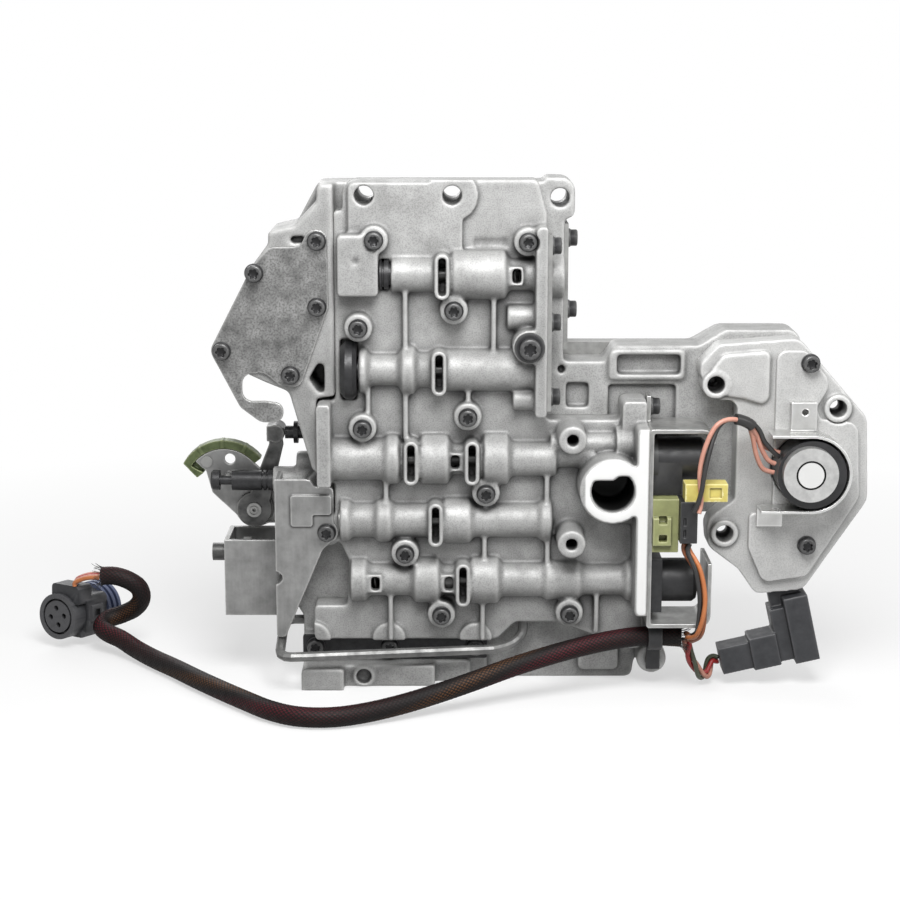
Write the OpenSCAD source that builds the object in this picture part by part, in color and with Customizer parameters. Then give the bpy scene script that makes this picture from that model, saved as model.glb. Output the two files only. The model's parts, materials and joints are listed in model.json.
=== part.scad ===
// Transmission valve body, standing on its lower edge as on a bench.
// Millimetres. +X is right, +Y points to the gearbox case and +Z is up.
// Z = 0 is the face that it stands on, and Y = 0 is the joint face of the front casting.

/* [Stack] */
// Thickness of the front casting's web
web_t = 14; // [12:0.5:16]
// Thickness of each separator plate
plate_t = 1.5; // [1:0.1:2.5]
// Thickness of the upper housing
upper_t = 24; // [23:0.5:30]
// Thickness of the transfer plate
transfer_t = 12; // [9:0.5:16]
// Height of the top edge
top_z = 258; // [256:1:268]

/* [Valve rows] */
// Distance of the valve axes in front of the joint face
row_y = 15; // [14.5:0.5:17]
// Diameter of the valve bores
bore_d = 11; // [9:0.5:12]
// Outer diameter of the plain tubes round the bores
tube_d = 17; // [16:0.5:19]
// Outer diameter of the bulges round the bores
bulge_d = 24; // [21:0.5:25]
// Width of the cast slots
slot_w = 3.5; // [2.5:0.5:4.5]
// Height of the cast slots
slot_h = 18.5; // [15:0.5:20]
// Height of the first valve row
row_1_z = 212; // [209:1:214]
// Height of the second valve row
row_2_z = 164.5; // [162:0.5:167]
// Height of the third valve row
row_3_z = 119.5; // [118:0.5:121]
// Height of the fourth valve row
row_4_z = 88; // [87:0.5:90]
// Height of the fifth valve row
row_5_z = 57; // [55:0.5:59]
// Radial clearance of a spool valve in its bore
valve_gap = 0.05; // [0.02:0.01:0.09]
// Travel of a spool valve
valve_travel = 6; // [3:0.5:7]

/* [Screws] */
// Diameter of the small screws
screw_d = 5; // [4:0.5:6]
// Diameter of the small screw heads
head_d = 9.5; // [8:0.5:10.5]
// Height of the small screw heads
head_h = 5; // [4:0.5:6]
// Diameter of the cast screw bosses
boss_d = 14; // [12.5:0.5:16]
// Distance of the screw seats in front of the joint face
seat_out = 23; // [21:0.5:25]
// Radial clearance round a screw
screw_gap = 0.2; // [0.1:0.05:0.4]
// Diameter of the flange bolt's washer
bolt_washer_d = 15; // [13:0.5:16]
// Diameter of the holes for the case bolts
case_hole_d = 9.4; // [8:0.2:11]

/* [Front casting] */
// Thickness of the right end flange
flange_t = 6; // [5:0.5:7]
// Distance of the right end flange's edge in front of the joint face
flange_out = 30; // [28:0.5:34]
// Distance of the filter face in front of the joint face
filter_out = 38; // [35:0.5:42]
// Outer diameter of the filter ring
filter_ring_d = 33; // [30:0.5:35]
// Diameter of the filter port
filter_port_d = 21; // [17:0.5:24]
// Distance between the two filter screws
filter_screw_span = 52.4; // [50:0.2:55]
// Thickness of the end covers
cover_t = 2; // [1.5:0.1:3]

/* [Side lobe] */
// Distance of the side lobe's face in front of the joint face
lobe_out = 16; // [14:0.5:19]

/* [Linkage] */
// Position of the lever pivot to the right
pivot_x = -102; // [-104:0.5:-101]
// Height of the lever pivot
pivot_z = 84.5; // [84:0.5:87]
// Thickness of the manual lever
lever_t = 3; // [2:0.1:3.2]
// Thickness of the throttle lever
throttle_t = 2.5; // [1.5:0.1:2.6]
// Diameter of the lever hubs
hub_d = 18.5; // [16:0.5:20]
// Outer diameter of the manual shaft
manual_shaft_d = 13; // [11:0.5:15]
// Diameter of the throttle shaft
throttle_shaft_d = 7; // [5.5:0.5:8]
// Diameter of the manual valve
manual_valve_d = 10.5; // [9:0.5:11]
// Diameter of the kickdown valve
kick_valve_d = 9; // [8:0.5:10]
// Outer radius of the lever cam
cam_r = 24.6; // [23:0.2:26]

/* [Adjusting bracket] */
// Thickness of the bracket's sheet
sheet_t = 2.5; // [1.5:0.1:3]
// Height of the regulator valve's axis
regulator_z = 64; // [62:0.5:65]
// Diameter of the regulator valve
regulator_d = 14; // [12:0.5:15]
// Diameter of the line pressure screw
pressure_screw_d = 6; // [5:0.5:7]

/* [Governor and solenoids] */
// Thickness of the governor casting
governor_t = 15.5; // [13:0.5:18]
// Outer diameter of the governor solenoid
governor_solenoid_d = 34; // [31:0.5:36]
// Diameter of the bright cap
governor_cap_d = 27; // [24:0.5:29]
// Thickness of the strap round the solenoid
strap_t = 1.6; // [1.2:0.1:2.2]
// Diameter of the two small solenoids
solenoid_d = 25; // [21:0.5:27]

/* [Tube and harness] */
// Outer diameter of the steel tube
pipe_d = 5; // [4:0.25:6]
// Diameter of the braided sleeve
sleeve_d = 10; // [9:0.5:11]
// Diameter of a lead
lead_d = 2.4; // [1.8:0.1:2.8]

/* [Hidden] */
$fn = 48;
cast_grey = [0.72, 0.72, 0.71];
bright_grey = [0.86, 0.86, 0.85];
steel_grey = [0.55, 0.55, 0.55];
dark_steel = [0.30, 0.30, 0.30];
black_oxide = [0.13, 0.13, 0.13];
black_plastic = [0.16, 0.16, 0.17];
olive = [0.45, 0.47, 0.22];
yellow = [0.85, 0.80, 0.35];
orange = [0.80, 0.42, 0.25];

// Depth of each layer of the stack
upper_front = plate_t;
upper_back = plate_t + upper_t;
transfer_front = upper_back + plate_t;
transfer_back = transfer_front + transfer_t;
valve_y = upper_front + upper_t / 2;
// Overlap that joins a boss to its web, and the reach of a cut past a face
bury = 2;
past = 60;

// Half sizes that many pieces share
bore_r = bore_d / 2;
tube_r = tube_d / 2;
neck_r = tube_r - 0.8;
bulge_r = bulge_d / 2;
screw_r = screw_d / 2;
screw_hole_r = screw_r + screw_gap;
head_pocket_r = head_d / 2 + 0.5;
case_hole_r = case_hole_d / 2;
rim_out = row_y + bulge_r + 1;
rim_w = 2;
rib_w = 2.5;
rib_out = web_t + 6;
land_r = bore_r - valve_gap;
stem_r = bore_r * 0.55;

// Right end of the upper rows and of the lower rows
flange_x = 41.6;
flange_face = flange_x + flange_t;
strip_x = 91.5;
strip_face = 98;
flange_z = [143, 236.5];
strip_z = [44, 139];

// Front outline of the front casting as x, z and corner radius
web_outline = [
  [-57, top_z - 15, 1.5], [-52.6, top_z - 15, 1.5], [-52.6, top_z, 7], [43, top_z, 3],
  [flange_face, top_z - 17, 3],
  [flange_face, 139, 3], [85, 139, 2], [85, 150, 3],
  [strip_face, 150, 2], [strip_face, 20, 3], [92, 20, 3], [56, 34, 6], [33, 34, 4], [24, 25, 3],
  [-69, 25, 3], [-69, 43, 2], [-52, 43, 2], [-51, 66, 2], [-58, 82, 3], [-58, 107, 1],
  [-66, 107, 2], [-66, 149, 2], [-57, 149, 2]
];

// Rows of the front casting: height, bore ends, stations of the boss, slots and windows
rows = [
  [row_1_z, [-30, flange_face], [[-30, -7, tube_r], [-7, 0.5, tube_r], [0.5, 28, bulge_r],
    [28, 44, neck_r]],
    [-3.9], [32.5]],
  [row_2_z, [-46, flange_face], [[-46, -40.6, bulge_r - 0.7], [-40.6, -24.5, neck_r], [-24.5, -17, bulge_r],
    [-17, -9, tube_r], [-9, 44, tube_r + 1.8]], [-5.4], []],
  [row_3_z, [-66, 50], [[-61, -32, tube_r + 2], [-32, -24.7, bulge_r + 0.5], [-24.7, -15, tube_r],
    [-15, 0, bulge_r + 0.5], [0, 16, neck_r], [16, 29.6, bulge_r + 0.8], [29.6, 54, tube_r]],
      [-19.3, 10.9], [2.5]],
  [row_4_z, [-56, 50], [[-56, -50, bulge_r - 1.5], [-50, -37, tube_r], [-37, -29, bulge_r - 1],
    [-29, -3.5, tube_r], [-3.5, 11, bulge_r - 0.5], [11, 45, tube_r], [45, 52, bulge_r - 1.5]], [-7.2], []],
  [row_5_z, [-40, strip_face], [[-51, -41.5, bulge_r - 1.2], [-41.5, -18.5, neck_r + 0.3],
    [-18.5, -5, bulge_r - 0.4], [-5, 10, neck_r], [10, 25, bulge_r], [25, 47.6, tube_r],
    [47.6, 53, bulge_r - 1.8], [53, 66, tube_r + 1.2], [66, 88, neck_r], [88, 95, bulge_r - 1.5]],
    [6.5], [-37.5, -0.5]]
];
window_w = 4.2;
window_h = 7;

// Screws of the front casting
screw_spots = [
  [-37, row_1_z + 17.5], [-45, 186.4], [1.9, 195.1], [38, row_1_z + 16.6], [8.8, 142.1], [-43.3, 136.4],
  [17.9, 103.5],
  [-22.5, 72.6], [-4.3, 40.6], [60.2, 41.4]
];
screw_reach = 9;
bolt_spot = [38.8, 178];
bolt_r = screw_r + 1;
case_holes = [[-42, top_z - 7.4], [1, top_z - 7.4]];
case_hole_span = case_holes[1][0] - case_holes[0][0];
ear_spot = [54.5, top_z - 10];

// Ribs of the front casting as x, lower end and upper end
ribs = [
  [-22, 172, 206], [21.5, 172, 204], [-22, 130, 155], [-40.6, 136, 156], [9, 142, 156], [-32, 94, 110],
  [48.5, 94, 113], [17.3, 66, 82], [49, 64, 82], [-30, 26, 50], [16.5, 26, 48], [74, 30, 50]
];
filter_centre = [80, 107.8];
filter_screw_x = 60;
filter_mid_z = 107.1;
filter_screws = [
  [filter_screw_x, filter_mid_z + filter_screw_span / 2],
    [filter_screw_x, filter_mid_z - filter_screw_span / 2]
];
filter_screw_r = 2.9;

// Lower ledge of the upper housing
ledge_z = 25;
ledge_out = 4;
ledge_left = -75.6;
ledge_right = 19;
ledge_screws = [[-69, 19], [-31, 19], [13, 19]];
block_h = 11.5;
foot = [103, 14.6];
foot_r = 7.6;
foot_out = 14;

// Bracket screw, pad and folds of the adjusting bracket
bracket_screw = [-62, 82];
lug_r = 5.8;
bracket_left = -88;
box_left = -116;
box_z = [33, 73];
box_front = 2;
box_depth = 31;
upper_left = -80;

// Side lobe and its cover as x, z and corner radius
lobe_z = top_z - 60;
lobe_right = -57.1;
lobe_outline = [
  [-65, top_z - 2, 3], [lobe_right, top_z - 2, 0], [lobe_right, 151.4, 0], [-66.5, 150, 0],
  [-66.5, 112, 0], [-69, 114, 2], [-80, lobe_z - 44.5, 4], [-91, lobe_z - 40, 6],
  [-104, lobe_z - 34, 6], [-118.5, lobe_z - 25, 6], [-96.5, lobe_z + 19, 4], [-89, lobe_z + 29, 2],
  [-89, lobe_z + 35, 2], [-76, lobe_z + 38, 3], [-65, lobe_z + 50, 4]
];
cover_outline = [
  [-59.6, lobe_z - 2, 4], [-60, lobe_z + 36, 5.5], [-69.5, lobe_z + 36, 5], [-73, lobe_z + 28, 4],
  [-88, lobe_z + 27.5, 4], [-97, lobe_z + 18, 6], [-118.6, lobe_z - 23.5, 6], [-104, lobe_z - 52, 8],
  [-94, lobe_z - 59.5, 6], [-83, lobe_z - 59.5, 4.5], [-82.4, lobe_z - 50, 4.5], [-92, lobe_z - 48.7, 3],
  [-102.8, lobe_z - 49, 7], [-102.8, lobe_z - 35, 7], [-92, lobe_z - 34.5, 6], [-84, lobe_z - 41, 3],
  [-74, lobe_z - 42, 5]
];
cover_screws = [
  [-65, lobe_z + 30.6], [-95.8, lobe_z + 15], [-65.2, lobe_z - 1.7], [-112.5, lobe_z - 23.5],
    [-78.8, lobe_z - 35.5]
];

// Right arm, lower and upper edge
arm_z = [123, 182];
// Cover over the right end of the upper housing
upper_cover_x = 57;
upper_cover_z = [arm_z[1] - 10, top_z - 23];
upper_cover_screw_z = [upper_cover_z[1] - 8, upper_cover_z[0] + 19];

// Right arm and governor
arm_right = 176;
governor_outline = [
  [124, 162, 7], [124, 167, 6], [133, 177, 5], [173, 180, 8], [208, 140, 9], [210, 98, 9], [179, 51, 8],
    [155, 49, 5],
  [146, 62, 4], [130, 74, 8], [129, 88, 9], [143, 98, 3], [143, 149, 5], [132, 149, 7]
];
governor_front = upper_front - governor_t;
governor_seat = governor_front - cover_t * 1.75;
governor_holes = [[132, 157], [138.2, 81], [193, 145]];
governor_boss_r = 7;
governor_cover_outline = [
  [161.5, 174.5, 5], [176, 174.5, 6], [189, 158, 8], [182, 146, 4], [184, 140, 3], [203, 138, 6],
    [205, 100, 9],
  [180, 59, 6], [158, 56, 5], [150, 74, 6], [150, 92, 3], [161.5, 92, 2]
];
governor_cover_screws = [[178, 168.3], [179.3, 75.7]];
solenoid_spot = [178, 115.2];
cap_spot = solenoid_spot + [-1.6, 1.2];
solenoid_out = 40;

// Solenoid bracket and the pieces that it carries
frame_right = 130;
frame_z = [37, 138];
frame_y = [-34, -2];
frame_bend = 6;
nozzle_r = 4;
lug_screw_z = 145;
lug_screw_y = -8;

// Springs of the valve rows: end to end when at rest
spring_wire = 1.2;
spring_turns = 6;

// Route of the steel tube
pipe_route = [
  [37.4, -7, 34], [37.4, -7, 29], [37, -7.5, 26.5], [35, -8.5, 23.8], [32, -10, 21.8], [28, -12, 20.6],
    [22, -15, 20],
  [-20, -20.5, 20], [-74, -27.5, 20], [-80, -28, 20], [-83, -27.4, 20.1], [-85.2, -25.4, 20.6],
    [-86, -22, 21.4],
  [-86, 2, 27.6], [-85.4, 5, 28.3], [-83.6, 7.2, 28.8], [-81, 8, 29], [ledge_left, 8, 29]
];
pipe_end = pipe_route[len(pipe_route) - 1];

// Route of the braided sleeve, from its clip over the bench to its connector
sleeve_points = [
  [117, -22, 28.6], [104, -21, 29], [92, -22.5, 28.8], [78, -26, 27.6], [62, -31, 25.4], [46, -36.5, 22.5],
  [30, -42, 19], [12, -49, 14.5], [-6, -56, 10.4], [-24, -64, 7.4], [-42, -72, 5.8], [-58, -76.5, 5.3],
  [-74, -75, 5.3], [-88, -66, 5.3], [-101, -52, 5.3], [-114, -37, 5.3], [-128, -20, 5.3], [-142, -2, 5.3],
  [-156, 15, 5.3], [-167, 28, 6.3], [-176.5, 37, 9], [-184, 41.5, 11], [-188.2, 46.5, 13],
    [-186, 52.5, 15.5],
  [-178.5, 54.5, 17.8], [-171, 52.5, 22], [-167, 50, 28], [-168, 48.5, 34.5], [-173.5, 47.5, 39],
  [-180.5, 47.5, 41.3], [-187.5, 48, 41.2]
];
sleeve_start = sleeve_points[0];
clip_spot = sleeve_points[1];
sleeve_end = sleeve_points[len(sleeve_points) - 1];
connector_at = [-212.8, 49.1, 18];
connector_turn = 30;
connector_lean = 4;
connector_r = 12.5;
connector_long = 26;
seal_long = 12;

// Routes of the leads
solenoid_lead_points = [
  sleeve_start + [2, -2.2, 1.2], sleeve_start + [4, -4, 1.6], [121, -31, 31], [123.6, -37.2, 35.2],
    [125, -39.2, 44], [125, -39.2, 55],
  [122, -38.6, 68], [117.3, -35.5, 77], [117.3, -35.5, 81.4]
];
governor_lead_points = [
  [120.3, -43, 98.5], [121.8, -43, 103.5], [122.4, -42.8, 110], [122.8, -42.4, 119], [125.4, -41, 130.5],
  [130.1, -38.5, 140.6], [137.3, -36, 143.8], [145.2, -33.5, 141.6], [150.2, -31.5, 137],
  [153.4, -29.5, 131], [158.6, -27.6, 126.4], [162.6, -27, 124.1]
];
sensor_lead_points = [
  sleeve_start + [2, 2, -1.8], sleeve_start + [3.6, 2.4, -4.2], [121.4, -18.6, 19], [124.5, -17, 12.6],
    [128, -14.5, 6.6], [131.5, -11.5, 5.6],
  [134.2, -8, 12], [137.7, -8, 12.8]
];

// Drawing helpers

// Extrude a drawing of the X-Z plane from depth y0 back to depth y1
module slab(y0, y1) {
  translate([0, y1, 0]) rotate([90, 0, 0]) linear_extrude(y1 - y0) children();
}
module rod_x(x0, x1, y, z, r) {
  translate([x0, y, z]) rotate([0, 90, 0]) cylinder(h = x1 - x0, r = r);
}
module rod_y(y0, y1, spot, r) {
  translate([spot[0], y1, spot[1]]) rotate([90, 0, 0]) cylinder(h = y1 - y0, r = r);
}
module box(x, y, z) {
  translate([x[0], y[0], z[0]]) cube([x[1] - x[0], y[1] - y[0], z[1] - z[0]]);
}
// Revolve a profile of [radius, x] points about an axis that runs along X
module turned_x(y, z, profile) {
  translate([0, y, z]) rotate([0, 90, 0]) rotate_extrude() polygon(profile);
}
// Drawing of a slot with round ends, upright
module stadium(spot, w, h) {
  translate(spot) {
    square([w, h - w], center = true);
    translate([0, (h - w) / 2]) circle(d = w);
    translate([0, -(h - w) / 2]) circle(d = w);
  }
}
function unit(v) = v / norm(v);
function flat(p) = [p[0], p[1]];
// Points of a rounded corner b between its neighbours a and c
function corner(a, b, c, r) =
  let (
    u = unit(a - b), v = unit(c - b), half = acos(max(-1, min(1, u * v))) / 2,
    t = min(r / tan(half), 0.48 * norm(a - b), 0.48 * norm(c - b)),
    radius = t * tan(half), middle = b + unit(u + v) * radius / sin(half),
    from = b + u * t - middle, to = b + v * t - middle,
    start = atan2(from[1], from[0]), raw = atan2(to[1], to[0]) - start,
    turn = raw > 180 ? raw - 360 : raw < -180 ? raw + 360 : raw, steps = 5
  )
  [for (i = [0 : steps]) middle + radius * [cos(start + turn * i / steps), sin(start + turn * i / steps)]];
// Outline of [x, z, corner radius] points with its corners rounded
function rounded(pts) =
  let (n = len(pts))
  [for (i = [0 : n - 1])
    each pts[i][2] > 0 ? corner(flat(pts[(i + n - 1) % n]), flat(pts[i]), flat(pts[(i + 1) % n]), pts[i][2])
      : [flat(pts[i])]];
// Profile of a turned boss: its stations are [start, end, radius], joined by short slopes
function boss_profile(stations, slope) = concat(
  [[0, stations[0][0]]],
  [for (s = stations) each [[s[2], s[0] + slope / 2], [s[2], s[1] - slope / 2]]],
  [[0, stations[len(stations) - 1][1]]]
);
// Profile of a spool: lands are [start, end], joined by a thinner stem
function spool_profile(lands, land, stem) = concat(
  [[0, lands[0][0]]],
  [for (i = [0 : len(lands) - 1]) each concat(
    i == 0 ? [] : [[stem, lands[i][0]]],
    [[land, lands[i][0]], [land, lands[i][1]]],
    i == len(lands) - 1 ? [] : [[stem, lands[i][1]]]
  )],
  [[0, lands[len(lands) - 1][1]]]
);
// Route that runs smoothly through its points
function between(p, i, t) =
  let (
    n = len(p) - 1, a = p[max(i - 1, 0)], b = p[i], c = p[min(i + 1, n)], d = p[min(i + 2, n)]
  )
  0.5 * (2 * b + (c - a) * t + (2 * a - 5 * b + 4 * c - d) * t * t + (3 * b - a - 3 * c + d) * t * t * t);
function smooth(p, steps) = concat(
  [for (i = [0 : len(p) - 2], k = [0 : steps - 1]) between(p, i, k / steps)],
  [p[len(p) - 1]]
);
// Tube swept along a route
function directions(p) =
  [for (i = [0 : len(p) - 1]) unit(p[min(i + 1, len(p) - 1)] - p[max(i - 1, 0)])];
function carried(t, i, n) =
  i == len(t) ? [] : let (m = unit(n - (n * t[i]) * t[i])) concat([m], carried(t, i + 1, m));
module sweep(route, r, sides) {
  t = directions(route);
  first = abs(t[0][2]) < 0.9 ? [0, 0, 1] : [1, 0, 0];
  n = carried(t, 0, first);
  last = (len(route) - 1) * sides;
  points = [for (i = [0 : len(route) - 1], j = [0 : sides - 1])
    route[i] + r * (cos(360 * j / sides) * n[i] + sin(360 * j / sides) * cross(t[i], n[i]))];
  walls = [for (i = [0 : len(route) - 2], j = [0 : sides - 1])
    let (a = i * sides + j, b = i * sides + (j + 1) % sides)
      each [[a, a + sides, b], [b, a + sides, b + sides]]];
  polyhedron(points, concat(walls, [[for (j = [0 : sides - 1]) j]],
    [[for (j = [sides - 1 : -1 : 0]) last + j]]));
}
function coil(x0, x1, y, z, r, turns, steps) =
  [for (i = [0 : turns * steps]) [
    x0 + (x1 - x0) * i / (turns * steps), y + r * cos(360 * i / steps), z + r * sin(360 * i / steps)
  ]];
// Round-wire spring that just fills the length between two faces
module spring_x(x0, x1, y, z, outer_r, wire, turns) {
  sweep(coil(x0 + wire / 2, x1 - wire / 2, y, z, outer_r - wire / 2, turns, 10), wire / 2, 5);
}
// Points beside a route, turned round it as a twisted lead
function beside(route, r, phase, rate) =
  let (t = directions(route), n = carried(t, 0, [0, 1, 0]))
  [for (i = [0 : len(route) - 1])
    route[i] + r * (cos(phase + rate * i) * n[i] + sin(phase + rate * i) * cross(t[i], n[i]))];

// Screws

// Flanged screw with a hex socket, its seat facing the front at depth seat
module screw_front(spot, seat, reach) {
  difference() {
    union() {
      rod_y(seat - 1, seat + reach, spot, screw_r);
      rod_y(seat - head_h * 0.3, seat, spot, head_d / 2);
      rod_y(seat - head_h, seat - 0.5, spot, head_d / 2 - 0.6);
    }
    translate([spot[0], seat - head_h * 0.5, spot[1]]) rotate([90, 0, 0])
      cylinder(h = head_h, r = head_d * 0.24, $fn = 6);
  }
}
// The same screw on a face that looks to the right
module screw_right(y, z, seat, reach) {
  translate([seat, y, z]) rotate([0, 0, 90]) screw_front([0, 0], 0, reach);
}

// Castings

module web_shape() {
  polygon(rounded(web_outline));
  translate(bracket_screw) circle(r = boss_d / 2 + 1);
}
module screw_cuts(depth) {
  for (p = screw_spots) rod_y(-past, depth, p, screw_hole_r);
  rod_y(-past, depth, bolt_spot, bolt_r + screw_gap);
  for (p = case_holes) rod_y(-past, past, p, case_hole_r);
}
module row_boss(row) {
  turned_x(-row_y, row[0], boss_profile(row[2], 2.4));
  for (x = row[3]) slab(-rim_out, -web_t + bury)
    stadium([x, row[0]], slot_w + 2 * rim_w, slot_h + 2 * rim_w);
  for (x = row[4])
    slab(-row_y - tube_r - 0.8, -web_t + bury)
      translate([x, row[0]]) square([window_w + 2.4, window_h + 2.4], center = true);
}
module row_cut(row) {
  rod_x(row[1][0], row[1][1] + 1, -row_y, row[0], bore_r);
  for (x = row[3])
    box([x - slot_w / 2, x + slot_w / 2], [-past, 3 - row_y], [row[0] - slot_h / 2, row[0] + slot_h / 2]);
  for (x = row[4])
    box([x - window_w / 2, x + window_w / 2], [-past, 1 - row_y],
      [row[0] - window_h / 2, row[0] + window_h / 2]);
}
module front_pads() {
  // Raised face at the top with the boss of the middle case bolt
  slab(-web_t - 2.5, -web_t + bury) intersection() {
    union() {
      polygon(rounded([[-50, top_z - 1, 4], [6, top_z - 1, 1], [6, row_1_z - 7, 1],
        [-50, row_1_z - 7, 3]]));
      translate(case_holes[1]) circle(r = case_hole_r + 8);
    }
    web_shape();
  }
  // Block at the left end of the first row, and the boss of the flange bolt
  slab(-row_y - tube_r - 1, -web_t + bury) polygon(rounded([[-55, row_1_z + 20, 2],
    [-35, row_1_z + 20, 2], [-35, row_1_z - 10, 2], [-55, row_1_z - 10, 2]]));
  rod_y(-flange_out, -web_t + bury, bolt_spot, bolt_washer_d / 2 + 0.8);
  // End flanges
  slab(-flange_out, -web_t + bury)
    polygon(rounded([[flange_x, flange_z[1], 5], [flange_face, flange_z[1], 2],
      [flange_face, flange_z[0], 2],
      [flange_x, flange_z[0], 2]]));
  slab(-row_y - bulge_r, -web_t + bury) polygon(rounded([[-66, 149, 2], [-59, 149, 2], [-59, 107, 1],
    [-66, 107, 1]]));
  slab(-filter_out, -web_t + bury)
    polygon(rounded([[strip_x, strip_z[1], 2], [strip_face, strip_z[1], 0], [strip_face, strip_z[0], 0],
      [strip_x, strip_z[0], 2]]));
  // Lug over the strip, plug boss on the flange and boss at its lower end
  slab(-web_t - 7, -web_t + bury) polygon(rounded([[85.5, 149.5, 2], [97.5, 149.5, 1], [97.5, 132, 1],
    [85.5, 132, 4]]));
  rod_x(50, strip_x + 1, -web_t - 1, row_3_z + 7.5, 5.5);
  rod_x(52, 72, -row_y, row_3_z + 2, neck_r - 1.6);
  rod_x(78, strip_x + 1, -web_t - 1, filter_centre[1] - 15.5, 6);
  rod_x(strip_x - 9, strip_x + 1, -web_t - 1, row_3_z + 7.5, 9.5);
  rod_x(28, flange_x + 1, -web_t - 2, 191, 6);
  rod_x(31, flange_x + 1, -web_t - 4, 150, 5);
}
// Oil port with one straight side and a lobe beside it
module filter_port() {
  d = filter_port_d;
  translate(filter_centre) difference() {
    circle(d = d);
    polygon(rounded([[-d, d * 0.25, 0], [d * 0.02, d * 0.25, d * 0.1], [d * 0.14, d * 0.355, d * 0.1],
      [d, d * 0.355, 0], [d, d, 0], [-d, d, 0]]));
  }
}
module valve_housing() {
  color(cast_grey) difference() {
    union() {
      slab(-web_t, 0) web_shape();
      for (row = rows) row_boss(row);
      for (p = screw_spots) rod_y(-seat_out, -web_t + bury, p, boss_d / 2);
      for (r = ribs) box([r[0] - rib_w / 2, r[0] + rib_w / 2], [-rib_out, -web_t + bury], [r[1], r[2]]);
      for (p = filter_screws) rod_y(-filter_out, -web_t + bury, p, 7);
      rod_y(-filter_out, -web_t + bury, filter_centre, filter_ring_d / 2);
      for (p = ledge_screws) intersection() {
        rod_y(-web_t - 3, -web_t + bury, [p[0], ledge_z + 1], boss_d / 2 + 1.5);
        slab(-past, 0) web_shape();
      }
      front_pads();
    }
    for (row = rows) row_cut(row);
    // Pockets of the two plugs that show
    rod_x(-35.1, -29.9, -row_y, row_1_z, plug_1_r + 0.4);
    box([-54.4, -46], [-past, 1], [row_2_z - plug_2_r - 0.6, row_2_z + plug_2_r + 0.6]);
    // Screw heads, holes and the filter
    for (p = screw_spots) rod_y(-past, -seat_out, p, head_pocket_r);
    rod_y(-past, -flange_out, bolt_spot, bolt_washer_d / 2 + 0.5);
    screw_cuts(1);
    rod_y(-past, 1, bracket_screw, screw_hole_r);
    for (p = filter_screws) rod_y(-past, -web_t - 6, p, filter_screw_r);
    slab(-past, -6) filter_port();
    for (z = end_cover_screw_z) rod_x(flange_face - end_screw_reach - 1, past, -row_y, z, screw_hole_r);
    rod_x(strip_x - 6, past + strip_face, -row_y, row_3_z, nozzle_r + valve_gap);
    rod_x(strip_face - end_screw_reach, past + strip_face, lug_screw_y, lug_screw_z, screw_hole_r);
    // Socket of the steel tube in the lower edge
    translate([pipe_route[0][0], pipe_route[0][1], pipe_route[0][2] - 5])
      cylinder(h = 11, d = pipe_d + 0.4);
    // Dimple and cast recess of the front face
    rod_y(-past, -row_y - tube_r, [-46, 219.5], 2);
    slab(-past, -web_t + 1) polygon(rounded([[11, 230, 1], [29, 230, 1], [29, 225, 1], [11, 225, 1]]));
  }
}
module separator_plate() {
  color(steel_grey) difference() {
    slab(0, plate_t) web_shape();
    screw_cuts(past);
    rod_y(-past, past, bracket_screw, screw_hole_r);
  }
}
module upper_shape() {
  polygon(rounded([
    [-65, top_z - 2, 3], [47, top_z - 2, 0], [47, top_z, 4], [62, top_z, 7], [62, top_z - 19, 7],
    [upper_cover_x, top_z - 21, 1], [upper_cover_x, arm_z[1] - 16, 2], [78, arm_z[1] - 16, 3],
    [83, arm_z[1] - 8, 4], [125, arm_z[1] - 8, 4], [138, arm_z[1], 4], [arm_right, arm_z[1], 6],
    [arm_right, arm_z[0], 6], [146, arm_z[0], 4], [146, arm_z[0] - 35, 4], [105, arm_z[0] - 35, 5],
    [105, 24, 4], [96, 12, 3], [94, 0, 3], [ledge_left, 0, 0],
    [ledge_left, 33, 4], [upper_left, 40, 3], [upper_left, 98, 4], [-66, 112, 3], [-66, 150, 2],
      [-80, 154, 4],
    [-118.5, lobe_z - 25, 6], [-96.5, lobe_z + 19, 4], [-89, lobe_z + 29, 2], [-89, lobe_z + 35, 2],
    [-76, lobe_z + 38, 3]
  ]));
}
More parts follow.
